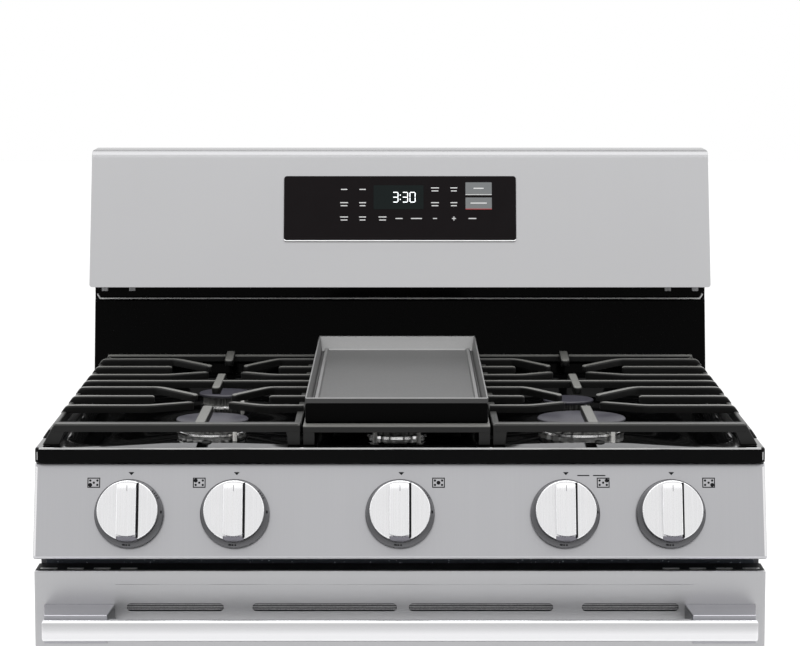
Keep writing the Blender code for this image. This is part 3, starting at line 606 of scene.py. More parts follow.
def guard():
    """The leaning stainless guard: rounded corners, a rolled top edge and an opening for the glass."""
    roll = 0.013
    lean = math.pi / 2 - GUARD_TILT
    centre = (GUARD_TOP.y + 0.0012 + roll / math.cos(lean), TOP_Z - roll)
    profile = [(GUARD_FOOT.y + 0.0006, GUARD_FOOT.z)]
    for step in range(7):
        turn = math.pi - lean - (math.pi / 2 - lean) * step / 6
        profile.append((centre[0] + roll * math.cos(turn), centre[1] + roll * math.sin(turn)))
    profile += [(REAR_Y, TOP_Z), (REAR_Y, GUARD_FOOT.z)]
    body = prism(profile, "X", -HALF, HALF)
    shape = prism(rounded((-HALF, HALF), (GUARD_FOOT.z, TOP_Z), 0.0035, 6), "Y", 0.2, 0.4)
    opening = rounded((-DISPLAY_HALF, DISPLAY_HALF), DISPLAY_V, 0.0036, 5)
    hole = moved(prism(opening, "Z", -0.006, 0.02), ON_GUARD)
    front, back, low, high = 0.338, REAR_Y - SHEET, GUARD_FOOT.z - 0.01, TOP_Z - 0.02
    hollow = prism([(front, low), (front, high), (back, high), (back, low)],
                   "X", SHEET - HALF, HALF - SHEET)
    shell = softened(carve([body], (), [shape]), 0.0016, 3, 40)
    # the guard's steel carries painted light, with painted shade along its rolled top
    piece("backguard", carve([shell], [hole, hollow]), "guard_steel_painted_light",
          ["backguard_shell"])


def label(x, v, width, height, lift=0.0002):
    """A printed mark on the display glass, as a thin raised bar."""
    corner = min(0.0006, min(width, height) * 0.3)
    mark = prism(rounded(span(x, width / 2), span(v, height / 2), corner, 3), "Z", 0, lift)
    return moved(mark, ON_GUARD @ Matrix.Translation((0, 0, 0.0006)))


def digit_strokes(figure, x, v, width, height):
    """The lit segments of one figure of a seven-segment clock."""
    thick = 0.0010
    gap = 0.0004
    half = height / 2
    level = (width - 2 * gap, thick)
    upright = (thick, half - 2 * gap)
    layout = {
        "a": (x, v + half, *level), "g": (x, v, *level), "d": (x, v - half, *level),
        "b": (x + width / 2, v + half / 2, *upright), "c": (x + width / 2, v - half / 2, *upright),
        "e": (x - width / 2, v - half / 2, *upright), "f": (x - width / 2, v + half / 2, *upright),
    }
    lit = {"3": "abgcd", "0": "abcdef"}[figure]
    return [label(*layout[stroke], 0.0003) for stroke in lit]


def display():
    """The glass control with its clock, keys and generic marks."""
    trim = 0.0005
    low, high = DISPLAY_V
    outline = rounded((trim - DISPLAY_HALF, DISPLAY_HALF - trim), (low + trim, high - trim), 0.0034, 5)
    glass = moved(softened(prism(outline, "Z", -0.005, 0.0006), 0.0004, 2, 60), ON_GUARD)
    piece("display_pane", glass, "control_glass", ["display_glass"])
    reach = DISPLAY_HALF - 0.0030
    end = reach + 0.0024
    edge = [(-end, low + 0.0010, 0), (-reach, low - 0.0004, 0), (reach, low - 0.0004, 0),
            (end, low + 0.0010, 0)]
    # painted highlight: a bright line along the glass's lower edge
    piece("display_edge_highlight", moved(tube(edge, 0.0007), ON_GUARD), "glass_edge_highlight")

    def marked(name, marks, finish):
        piece(name, joined(marks), finish)

    first, second, third = (up_guard(z) for z in (1.1473, 1.1295, 1.1123))
    marked("display_window", [label(-0.0018, first - 0.0098, 0.0613, 0.0300)], "display_window")
    clock = up_guard(1.1379)
    strokes = []
    for figure, x in (("3", -0.0056), ("3", 0.0062), ("0", 0.0154)):
        strokes += digit_strokes(figure, x, clock, 0.0063, 0.0122)
    strokes += [label(0.0003, clock + away, 0.0013, 0.0013, 0.0003) for away in (-0.0027, 0.0027)]
    marked("clock_digits", strokes, "digit")

    marks = []
    two_lines = ((-0.0686, second), (-0.0459, second), (0.0429, first), (0.0661, first),
                 (0.0429, second), (0.0661, second), (-0.0686, third), (-0.0459, third),
                 (-0.0214, third))
    for k, (x, row) in enumerate(two_lines):
        wide = 0.0085 if k % 2 else 0.0098
        marks.append(label(x, row + 0.0019, wide, 0.0012))
        marks.append(label(x, row - 0.0019, wide - 0.0014, 0.0012))
    one_line = ((-0.0686, first, 0.0080), (-0.0459, first, 0.0078), (-0.0012, third, 0.0088),
                (0.0202, third, 0.0135), (0.0888, third, 0.0095))
    marks += [label(x, row, wide, 0.0012) for x, row, wide in one_line]
    minus_and_plus = ((0.0429, 0.0050, 0.0011), (0.0661, 0.0050, 0.0011), (0.0661, 0.0011, 0.0050))
    marks += [label(x, third, wide, tall) for x, wide, tall in minus_and_plus]
    marked("key_marks", marks, "label_ink")

    x, wide = 0.0965, 0.0322
    pads = ((up_guard(1.1486), 0.0150, 0.0125), (up_guard(1.1308), 0.0140, 0.0200))
    marked("key_pads", [label(x, v, wide, tall) for v, tall, _ in pads], "key_grey")
    for (v, tall, _), (colour, finish) in zip(pads, (("white", "label_ink"), ("red", "key_red"))):
        underline = label(x, v - tall / 2 - 0.0004, wide, 0.0009)
        marked(f"key_underline_{colour}", [underline], finish)
    marked("key_pad_marks", [label(x, v, line, 0.0014, 0.0003) for v, _, line in pads], "label_ink")


def riser():
    """The black riser: an upright strip, a fold that catches the light, and a face that slopes forward."""
    half = HALF - 0.0002
    top = GUARD_FOOT.z - GAP
    fold = 1.0095
    foot_y = 0.3090
    upright = 0.3340
    profile = [(foot_y, SKIRT_Z), (upright - 0.0030, fold - 0.0022), (upright, fold + 0.0012),
               (upright, top), (REAR_Y, top), (REAR_Y, SKIRT_Z)]
    low, high, back = SKIRT_Z - 0.01, top - 0.003, REAR_Y - SHEET
    hollow = prism([(foot_y + 0.03, low), (upright + 0.004, high), (back, high), (back, low)],
                   "X", SHEET - half, half - SHEET)
    shell = softened(prism(profile, "X", -half, half), 0.0012, 3, 20)
    piece("riser", carve([shell], [hollow]), "riser_enamel", ["backguard_riser"])
    reach = half - 0.0035
    bead = [(-reach, upright + 0.002, fold + 0.006), (-reach, upright - 0.0008, fold + 0.0045),
            (-reach + 0.003, upright - 0.0024, fold)]
    bead += [(-x, y, z) for x, y, z in reversed(bead)]
    # painted highlight: the bead along the fold is in a grey enamel that stands for its highlight
    piece("riser_fold", tube(bead, 0.0011, 10), "enamel_highlight")
    clips = [box(span(side * x, 0.004), (upright - 0.003, upright + 0.002), (1.0185, 1.0235))
             for side in (-1, 1) for x in (0.333, 0.367)]
    piece("riser_clips", softened(joined(clips), 0.0008, 2), "vent_mesh")


# Cooktop and burners

MIDLINE_X = -0.0035
COLUMN_X = 0.2055
RIM_ROLL = 0.0030
ISLAND_RADIUS = 0.130
ELECTRODE_TURN = -0.92
CENTRE_LOW, CENTRE_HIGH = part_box("burner_cap_centre")
CENTRE = ((CENTRE_LOW.x + CENTRE_HIGH.x) / 2, (CENTRE_LOW.y + CENTRE_HIGH.y) / 2)
CENTRE_HALF = ((CENTRE_HIGH.x - CENTRE_LOW.x) / 2, (CENTRE_HIGH.y - CENTRE_LOW.y) / 2)


def burner_places():
    """Each round burner's name, centre, cap radius and height of its cap's rim."""
    places = []
    for name in KNOBS:
        if name == "centre":
            continue
        low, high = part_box(f"burner_cap_{name}")
        centre = ((low.x + high.x) / 2, (low.y + high.y) / 2)
        places.append((name, centre, (high.x - low.x) / 2, high.z - 0.0015))
    return places


def islands():
    """The raised places in the well: centre, half length along Y, and height."""
    found = [(centre, 0.0, 0.35 * (cap_z - WELL_Z)) for _, centre, _, cap_z in burner_places()]
    found.append((CENTRE, CENTRE_HALF[1] - CENTRE_HALF[0], 0.006))
    return found


def well_floor(x, y, raised):
    height = 0.0
    for centre, reach, rise in raised:
        along = max(0.0, abs(y - centre[1]) - reach)
        share = math.hypot(x - centre[0], along) / ISLAND_RADIUS
        if share < 1:
            height = max(height, rise * (1 - share * share) ** 2)
    return WELL_Z + height


def apron(x):
    """How far the ledge's inner edge rises in front of a burner column."""
    rise = 0.0
    for side in (-1, 1):
        away = abs(x - (MIDLINE_X + side * (COLUMN_X - 0.004))) / 0.112
        if away < 1:
            rise = max(rise, 0.0021 * (1 - away * away) ** 2)
    return rise


def cooktop():
    """The pressed cooktop: a rolled rim, a ledge, and a well whose floor rises under each burner."""
    raised = islands()
    low, high = COOKTOP
    runs = (56, 44)

    def inset(x, y, by):
        return grown(x, -by), grown(y, -by)

    def loop(by, radius, z):
        return [(u, v, z) for u, v in rounded(*inset((low.x, high.x), (low.y, high.y), by), radius, 6, runs)]

    loops = [loop(0.0060, 0.004, SKIRT_Z + 0.0003), loop(0.0008, 0.008, SKIRT_Z),
             loop(0.0, 0.008, SKIRT_Z + 0.0012), loop(0.0, 0.008, RIM_Z - RIM_ROLL)]
    for step in range(1, 6):
        turn = math.pi / 2 * step / 5
        loops.append(loop(RIM_ROLL * (1 - math.cos(turn)), 0.008, RIM_Z - RIM_ROLL * (1 - math.sin(turn))))
    well = ((-WELL_X, WELL_X), WELL_Y)
    wall = 0.030
    wall_steps = 12
    for step in range(wall_steps + 1):
        share = step / wall_steps
        fall = share * share * (3 - 2 * share)
        ring = []
        for u, v in rounded(*inset(*well, wall * share), 0.040 - 0.02 * share, 6, runs):
            edge = RIM_Z + (apron(u) if v < WELL_Y[0] + 0.035 else 0)
            ring.append((u, v, edge + (well_floor(u, v, raised) - edge) * fall))
        loops.append(ring)
    floor_steps = 42
    deepest = (WELL_Y[1] - WELL_Y[0]) / 2 - 0.012
    for step in range(1, floor_steps + 1):
        share = step / floor_steps
        points = rounded(*inset(*well, wall + (deepest - wall) * share), 0.020 - 0.010 * share, 6, runs)
        loops.append([(u, v, well_floor(u, v, raised)) for u, v in points])
    piece("cooktop", lofted(loops, (False, True)), "black_enamel", ["cooktop_panel"])
    # painted highlights: grey tubes along the cooktop's nose and at the skirt's front corners
    nose_y, nose_z = low.y + 0.0009, RIM_Z - 0.0009
    lights = [tube([(-HALF + 0.005, nose_y, nose_z), (HALF - 0.005, nose_y, nose_z)], 0.00105, 8)]
    for side in (-1, 1):
        x, y = side * (HALF - 0.0030), low.y + 0.0014
        lights.append(tube([(x, y, SKIRT_Z + 0.0035), (x, y, RIM_Z - 0.0045)], 0.0006, 6))
    piece("cooktop_rim_highlight", joined(lights), "enamel_highlight")


def burner_pieces(name, foot, ports, ring, cap):
    """A burner's fluted foot, its ports in painted shade, its bright ring and its cap."""
    piece(f"head_{name}", foot, "aluminium", [f"burner_head_{name}"])
    # painted shade: the ports under the cap are in a darkened aluminium
    piece(f"head_ports_{name}", ports, "shaded_port_metal")
    piece(f"head_ring_{name}", ring, "bright_ring")
    piece(f"cap_{name}", cap, "cap_enamel", [f"burner_cap_{name}"])


def burner(name, centre, radius, cap_z):
    """A round burner: fluted head, bright flange, collar, cap and electrode."""
    floor = WELL_Z + 0.224 * (cap_z - WELL_Z)
    flange = cap_z - 0.0155
    cap_foot = cap_z - 0.0040
    rim = radius - 0.0006
    foot = prism(fluted(circle(radius - 0.0015, 96, centre), centre, 0.0016), "Z", floor - 0.003, flange)
    ports = prism(fluted(circle(radius - 0.0045, 96, centre), centre, 0.0022), "Z", flange, cap_foot)
    ring = turned([(0, flange - 0.0012), (rim - 0.0006, flange - 0.0012), (rim + 0.0004, flange - 0.0004),
                   (rim, flange + 0.0020), (rim - 0.0010, flange + 0.0028), (rim - 0.0026, flange + 0.0030),
                   (rim - 0.0038, flange + 0.0022), (0, flange + 0.0020)], 72, centre)
    cap = turned([(0, cap_foot), (radius - 0.0015, cap_foot), (radius, cap_foot + 0.0012),
                  (radius + 0.0001, cap_z - 0.0012), (radius - 0.0008, cap_z - 0.0002),
                  (radius - 0.0026, cap_z + 0.0003), (radius * 0.55, cap_z + 0.0011),
                  (0, cap_z + 0.0014)], 72, centre)
    burner_pieces(name, foot, ports, ring, cap)
    collar = turned([(0, floor - 0.004), (radius + 0.006, floor - 0.004), (radius + 0.006, floor - 0.001),
                     (radius + 0.002, floor + 0.0006), (0, floor + 0.0006)], 64, centre)
    piece(f"head_collar_{name}", collar, "black_enamel")
    inward = Vector((-math.cos(ELECTRODE_TURN), -math.sin(ELECTRODE_TURN), 0))
    x, y, _ = Vector((*centre, 0)) - inward * (radius + 0.0045)
    sleeve = turned([(0, floor - 0.004), (0.0024, floor - 0.004), (0.0024, cap_foot - 0.0035),
                     (0.0018, cap_foot - 0.0025), (0, cap_foot - 0.0025)], 14, (x, y))
    piece(f"electrode_{name}", sleeve, "ceramic")
    tip = [(x, y, cap_foot - 0.003), (x, y, cap_foot - 0.0010),
           Vector((x, y, cap_foot - 0.0004)) + inward * 0.004]
    piece(f"electrode_tip_{name}", tube(tip, 0.0006, 8), "steel")


def centre_burner():
    """The long burner under the griddle."""
    wide, long = CENTRE_HALF
    floor = WELL_Z + 0.004
    flange = 0.8985
    top = CENTRE_HIGH.z
    foot = prism(fluted(oval(wide - 0.0015, long - 0.0015, CENTRE, 40), CENTRE, 0.0014),
                 "Z", floor - 0.002, flange)
    ports = prism(fluted(oval(wide - 0.005, long - 0.005, CENTRE, 40), CENTRE, 0.0020),
                  "Z", flange, top - 0.0058)
    rings = ((0.0008, -0.0014), (-0.0006, -0.0006), (-0.0001, 0.0024), (0.0012, 0.0034),
             (0.0030, 0.0034), (0.0040, 0.0024))
    ring = lofted([[(u, v, flange + up) for u, v in oval(wide - inset, long - inset, CENTRE, 24)]
                   for inset, up in rings])
    cap = softened(prism(oval(wide, long, CENTRE, 24), "Z", top - 0.0056, top), 0.0014, 3, 60)
    burner_pieces("centre", foot, ports, ring, cap)
    for name, side in SIDES:
        place = (CENTRE[0] + side * 0.024, CENTRE[1] - long - 0.0005)
        sleeve = turned([(0, floor - 0.003), (0.0024, floor - 0.003), (0.0024, 0.9055), (0.0016, 0.9070),
                         (0, 0.9070)], 14, place)
        piece(f"electrode_centre_{name}", sleeve, "ceramic")


# Grates and griddle

GRATE_Z = 0.9430
GRATE_HEIGHT = 0.0085
GRATE_OUTER = 0.3685
GRATE_INNER = 0.1005
GRATE_Y = (-0.2775, 0.3085)
ROWS = (-0.064, 0.188)


def bar_section(half, height):
    """A bar's outline across its path, flat on top with eased shoulders: (sideways, up from the top)."""
    side = [(half * 0.88, -height), (half, -0.0026), (half * 0.95, -0.0010), (half * 0.80, -0.0002),
            (half * 0.25, 0)]
    return side + [(-u, v) for u, v in reversed(side)]


def eased(path, reach=0.012, steps=4):
    """The path with every inner corner replaced by a short curve."""
    points = [Vector(p) for p in path]
    result = [points[0]]
    for k in range(1, len(points) - 1):
        here = points[k]
        back = points[k - 1] - here
        onward = points[k + 1] - here
        start = here + back.normalized() * min(reach, back.length * 0.45)
        end = here + onward.normalized() * min(reach, onward.length * 0.45)
        for step in range(steps + 1):
            share = step / steps
            result.append(start * (1 - share) ** 2 + here * 2 * share * (1 - share) + end * share ** 2)
    result.append(points[-1])
    return result


def iron_bar(path, half=0.0046, height=GRATE_HEIGHT, near_tip=False):
    """A cast bar along a path through its top line, with a round tip at its far end or at both."""
    points = eased(path)
    section = bar_section(half, height)

    def across(heading):
        return Vector((heading.y, -heading.x, 0)).normalized()

    loops = []
    for k, point in enumerate(points):
        sideways = across(points[min(k + 1, len(points) - 1)] - points[max(k - 1, 0)])
        loops.append([point + sideways * u + Vector((0, 0, v)) for u, v in section])

    def tip(last, before):
        """Loops that close a bar's end like a thumb."""
        heading = (last - before).normalized()
        sideways = across(heading)
        extra = []
        for along, size in ((0.0016, 0.93), (0.0030, 0.76), (0.0039, 0.48), (0.0042, 0.20)):
            centre = last + heading * along - Vector((0, 0, height / 2))
            squash = 0.35 + 0.65 * size
            extra.append([centre + sideways * u * size + Vector((0, 0, (v + height / 2) * squash))
                          for u, v in section])
        return extra

    if near_tip:
        loops = [loop[::-1] for loop in reversed(tip(points[0], points[1]))] + loops
    return lofted(loops + tip(points[-1], points[-2]))


def cast(outline, axis, reach, width=0.0005, segments=2):
    """An outline extruded between two limits, with every edge eased."""
    return softened(prism(outline, axis, *reach), width, segments, 25)


def grate_rails(name, outer, inner):
    """The front and rear rails, the low side rails and the feet of a side grate."""
    side = math.copysign(1, outer)
    low = GRATE_Z - GRATE_HEIGHT
    foot_z = RIM_Z + 0.0004
    front, rear = GRATE_Y
    body = f"grate_{name}"
    ends = sorted((outer - side * 0.0075, inner))
    rail = [(front, low), (front, GRATE_Z - 0.0020), (front + 0.0012, GRATE_Z - 0.0007),
            (front + 0.006, GRATE_Z - 0.0001), (front + 0.016, GRATE_Z - 0.0002),
            (front + 0.0205, GRATE_Z - 0.0012), (front + 0.0215, low)]
    piece(f"{body}_front_rail", cast(rail, "X", ends), "rail_iron_lit_tops", body=body)
    edge = box((ends[0] + 0.002, ends[1] - 0.002), (front + 0.0006, front + 0.0030),
               (GRATE_Z - 0.0022, GRATE_Z - 0.0001))
    rear_rail = [(rear, low), (rear, GRATE_Z - 0.002), (rear - 0.003, GRATE_Z - 0.0004),
                 (rear - 0.008, GRATE_Z - 0.0004), (rear - 0.011, GRATE_Z - 0.002), (rear - 0.011, low)]
    pieces = [softened(edge, 0.0007, 2), cast(rear_rail, "X", ends)]
    slant = [(outer + side * 0.0048, RIM_Z + 0.0065), (outer - side * 0.0020, GRATE_Z - 0.0066),
             (outer - side * 0.0060, GRATE_Z - 0.0072), (outer - side * 0.0080, RIM_Z + 0.0065)]
    upright = [(inner, low - 0.001), (inner, GRATE_Z - 0.0066), (inner + side * 0.0080, GRATE_Z - 0.0066),
               (inner + side * 0.0080, low - 0.001)]
    sides = [cast(outline, "Y", (front + 0.008, rear - 0.004), 0.0015, 3) for outline in (slant, upright)]
    piece(f"{body}_side_rails", joined(sides), "rail_iron_lit_tops", body=body)
    foot = [(outer - side * 0.0075, GRATE_Z - 0.0018), (outer + side * 0.0042, foot_z),
            (outer - side * 0.0140, foot_z), (outer - side * 0.0200, low + 0.001)]
    heel = [(inner, low + 0.002), (inner, foot_z), (inner + side * 0.0130, foot_z),
            (inner + side * 0.0145, low + 0.002)]
    for y in ((front + 0.0004, front + 0.0095), (rear - 0.0125, rear - 0.0005)):
        pieces.append(cast(foot, "Y", y, 0.0014, 3))
        pieces.append(cast(heel, "Y", y, 0.0010, 3))
    return pieces


def side_grate(name, side):
    """A cast grate over two burners: cross bars, fingers that aim at each burner, and thumbs."""
    column = MIDLINE_X + side * COLUMN_X
    outer = side * GRATE_OUTER
    inner = MIDLINE_X + side * GRATE_INNER
    pieces = grate_rails(name, outer, inner)

    def root(edge, y):
        """Where a bar leaves a side rail: outer bars curl down over it."""
        if edge == inner:
            return [(edge + side * 0.0008, y, GRATE_Z)]
        return [(edge - side * 0.0002, y, GRATE_Z - 0.0075), (edge - side * 0.0050, y, GRATE_Z - 0.0006),
                (edge - side * 0.0120, y, GRATE_Z)]

    middle = sum(ROWS) / 2
    pieces.append(iron_bar(root(outer, middle) + [(inner + side * 0.0008, middle, GRATE_Z)]))
    for row in ROWS:
        for edge, bend, tip, stub in ((outer, 0.064, 0.0225, 0.0680), (inner, -0.060, -0.0245, -0.0675)):
            pieces.append(iron_bar(root(edge, row) + [(column + side * stub, row, GRATE_Z)]))
            lead = bend + math.copysign(0.014, bend)
            for away in (-1, 1):
                y = row + away * 0.0725
                end = (column + side * tip, row + away * 0.031, GRATE_Z - 0.0025)
                knee = [(column + side * x, y, GRATE_Z) for x in (lead, bend)]
                pieces.append(iron_bar(root(edge, y) + knee + [end]))
    thumbs = (
        ((GRATE_Y[0] + 0.015, GRATE_Z + 0.0006), (ROWS[0] - 0.071, GRATE_Z - 0.0012), 0.0060),
        ((ROWS[0] + 0.071, GRATE_Z + 0.0004), (ROWS[1] - 0.071, GRATE_Z + 0.0004), 0.0052),
        ((ROWS[1] + 0.071, GRATE_Z - 0.0006), (GRATE_Y[1] - 0.003, GRATE_Z + 0.0036), 0.0056),
    )
    for near, far, half in thumbs:
        pieces.append(iron_bar([(column, *near), (column, *far)], half, 0.0088, True))
    piece(f"grate_{name}_casting", joined(pieces), "grate_iron",
          [f"grate_{name}"], body=f"grate_{name}")
    bump = turned([(0, 0.9120), (0.0060, 0.9120), (0.0060, 0.9215), (0.0050, 0.9236), (0.0028, 0.9246),
                   (0, 0.9248)], 20, (column + 0.0070, -0.2660))
    piece(f"grate_stop_{name}", bump, "black_plastic")


def centre_grate():
    """The grate that carries the griddle."""
    left, right = MIDLINE_X - GRATE_INNER + 0.003, MIDLINE_X + GRATE_INNER - 0.003
    low = GRATE_Z - GRATE_HEIGHT
    top = 0.9414
    bar_top = top - 0.0002
    front, rear = GRATE_Y
    rail = [(front, low - 0.0005), (front, top - 0.0020), (front + 0.0012, top - 0.0006),
            (front + 0.008, top), (front + 0.0205, top), (front + 0.0215, low)]
    pieces = [cast(rail, "X", (left, right)),
              softened(box((left, right), (rear - 0.012, rear), (low, top)), 0.0012, 2)]
    for x in ((left, left + 0.012), (right - 0.012, right)):
        pieces.append(softened(box(x, (front + 0.004, rear - 0.004), (low, bar_top)), 0.0012, 2))
        for y in ((front + 0.0005, front + 0.0085), (rear - 0.0125, rear - 0.0005)):
            pieces.append(softened(box(x, y, (RIM_Z + 0.0004, low + 0.002)), 0.0010, 2))
    for y in (-0.17, -0.08, 0.01, 0.10, 0.19):
        pieces.append(iron_bar([(left + 0.006, y, bar_top), (right - 0.006, y, bar_top)], near_tip=True))
    spine = [(MIDLINE_X, front + 0.015, bar_top), (MIDLINE_X, rear - 0.008, bar_top)]
    pieces.append(iron_bar(spine, near_tip=True))
    piece("grate_centre_casting", joined(pieces), "grate_iron",
          ["grate_centre"], body="grate_centre")


def griddle():
    """The cast griddle: a front lip, a rear wall, side rims, grease grooves and ridges; rims, ridges and rear
    wall carry painted light, the lip and skirt painted shade.
    """
    low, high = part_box("griddle")
    floor = low.z + 0.0100
    x0, x1 = low.x, high.x

    def part(name, mesh, finish, stands_for=()):
        piece(f"griddle_{name}", mesh, finish, stands_for, body="griddle")

    side = [(0.0000, low.z + 0.004), (0.0000, high.z), (0.0016, high.z), (0.0042, floor - 0.002),
            (0.0060, floor - 0.002), (0.0074, floor + 0.0026), (0.0109, floor + 0.0026), (0.0122, floor)]
    section = [(x0 + u, z) for u, z in side] + [(x1 - u, z) for u, z in reversed(side)]
    rear = high.y - 0.0120
    part("plate", cast(section, "Y", (low.y + 0.0035, rear + 0.001)), "griddle_iron", ["griddle"])
    lip = [(low.y, high.z - 0.0045), (low.y, high.z), (low.y + 0.0018, high.z),
           (low.y + 0.0060, floor - 0.001), (low.y + 0.0045, floor - 0.001)]
    part("lip_face", cast(lip, "X", (x0, x1)), "griddle_iron_shaded_lip")
    ridges = []
    for start in (x0 + 0.0074, x1 - 0.0109):
        strip = box((start, start + 0.0035), (low.y + 0.008, high.y - 0.016),
                    (floor + 0.0020, floor + 0.0032))
        ridges.append(softened(strip, 0.0005, 2))
    part("ridges", joined(ridges), "griddle_rim")
    wall = [(high.y, low.z + 0.004), (high.y, high.z), (rear + 0.0080, high.z),
            (rear + 0.0012, floor + 0.0015), (rear - 0.0012, floor - 0.001), (rear, low.z + 0.004)]
    part("rear_wall", cast(wall, "X", (x0 + 0.0004, x1 - 0.0004), 0.0008, 3), "griddle_rim")
    skirt = softened(box((x0 + 0.0002, x1 - 0.0002), (low.y + 0.0002, high.y - 0.0003),
                         (low.z, high.z - 0.0036)), 0.0015, 3)
    inside = box((x0 + 0.004, x1 - 0.004), (low.y + 0.0046, high.y - 0.0046), (low.z - 0.01, low.z + 0.0062))
    room = box((x0 + 0.002, x1 - 0.002), (low.y + 0.003, high.y - 0.003), (floor - 0.004, high.z + 0.01))
    # painted shadow: the skirt under the griddle is near-black iron
    part("skirt", carve([skirt], [inside, room]), "griddle_iron_shadow")
    edge = high.z - 0.0002
    rims = [tube([(x, low.y + 0.001, edge), (x, high.y - 0.001, edge)], 0.0008)
            for x in (x0 + 0.0008, x1 - 0.0008)]
    rims.append(tube([(x0 + 0.001, low.y + 0.0009, edge), (x1 - 0.001, low.y + 0.0009, edge)], 0.0009))
    part("rim", joined(rims), "griddle_rim")


# Control panel and knobs

INK = 0.0002


def control_panel():
    """The leaning stainless fascia with its end folds, pointers and burner pictograms; bright end strips
    carry a painted highlight.
    """
    back = FLANGE_Y - GAP
    slope = (PANEL_TOP.y - PANEL_FOOT.y) / (PANEL_TOP.z - PANEL_FOOT.z)
    step_y = WELL_Y[0] - 2 * SHEET - 0.002
    step_z = WELL_Z - 2 * SHEET - 0.002
    fold = 0.003
    outline = [(back, step_z), (step_y, step_z), (step_y, PANEL_TOP.z), (PANEL_TOP.y, PANEL_TOP.z),
               (PANEL_FOOT.y + fold * slope, PANEL_FOOT.z + fold), (PANEL_FOOT.y + fold, PANEL_FOOT.z),
               (back, PANEL_FOOT.z)]
    shell = softened(prism(outline, "X", -HALF, HALF), 0.0022, 4, 35)
    inner = [(back + 0.01, PANEL_FOOT.z + SHEET), (back + 0.01, PANEL_TOP.z - 0.03),
             (PANEL_TOP.y - 0.006, PANEL_TOP.z - 0.03), (PANEL_FOOT.y + 0.006, PANEL_FOOT.z + SHEET + 0.002)]
    cuts = [prism(inner, "X", 0.006 - HALF, HALF - 0.006)]
    for x in KNOBS.values():
        bore = prism(circle(0.007, 24, (x, 0)), "Z", -0.02, 0.02)
        cuts.append(moved(bore, ON_PANEL))
    piece("fascia", carve([shell], cuts), "stainless", ["control_panel"])
    marks = []
    for name, x in KNOBS.items():
        left, middle, right = (x + shift for shift in (-0.0016, 0.0014, 0.0044))
        marks.append(prism([(left, 0.0441), (right, 0.0441), (middle, 0.0409)], "Z", 0, INK))
        marks += pictogram(x + (-0.0375 if name.startswith("left") else 0.0400), 0.0330, name)
    for x, wide in ((0.1905, 0.0125), (0.2070, 0.0130)):
        dash = rounded(span(x, wide / 2), (0.0400, 0.0411), 0.0004, 2)
        marks.append(prism(dash, "Z", 0, INK))
    piece("panel_marks", moved(joined(marks), ON_PANEL), "ink_and_painted_shadow")
    # painted highlight: bright strips along the panel's ends stand for the light on their rounded edges
    strips = []
    for side in (-1, 1):
        x = sorted((side * (HALF - 0.0006), side * (HALF - 0.0030)))
        strips.append(softened(box(x, (-0.0440, 0.0500), (-0.0010, 0.0004)), 0.0004, 2))
    piece("panel_end_strips", moved(joined(strips), ON_PANEL), "panel_edge_highlight")


def pictogram(x, v, chosen):
    """A small frame with a dot for each burner, the chosen one larger."""
    wide, tall, line = 0.0066, 0.0053, 0.0010
    across, up, ink = span(x, wide), span(v, tall - line), (0, INK)
    parts = [
        box(across, (v + tall - line, v + tall), ink), box(across, (v - tall, v - tall + line), ink),
        box((x - wide, x - wide + line), up, ink), box((x + wide - line, x + wide), up, ink),
    ]
    spots = {"left_front": (-0.0037, -0.0023), "left_rear": (-0.0037, 0.0023), "centre": (0, 0),
             "right_rear": (0.0037, 0.0023), "right_front": (0.0037, -0.0023)}
    for name, (dx, dv) in spots.items():
        size = 0.0021 if name == chosen else 0.0012
        parts.append(prism(circle(size, 14, (x + dx, v + dv)), "Z", *ink))
    return parts


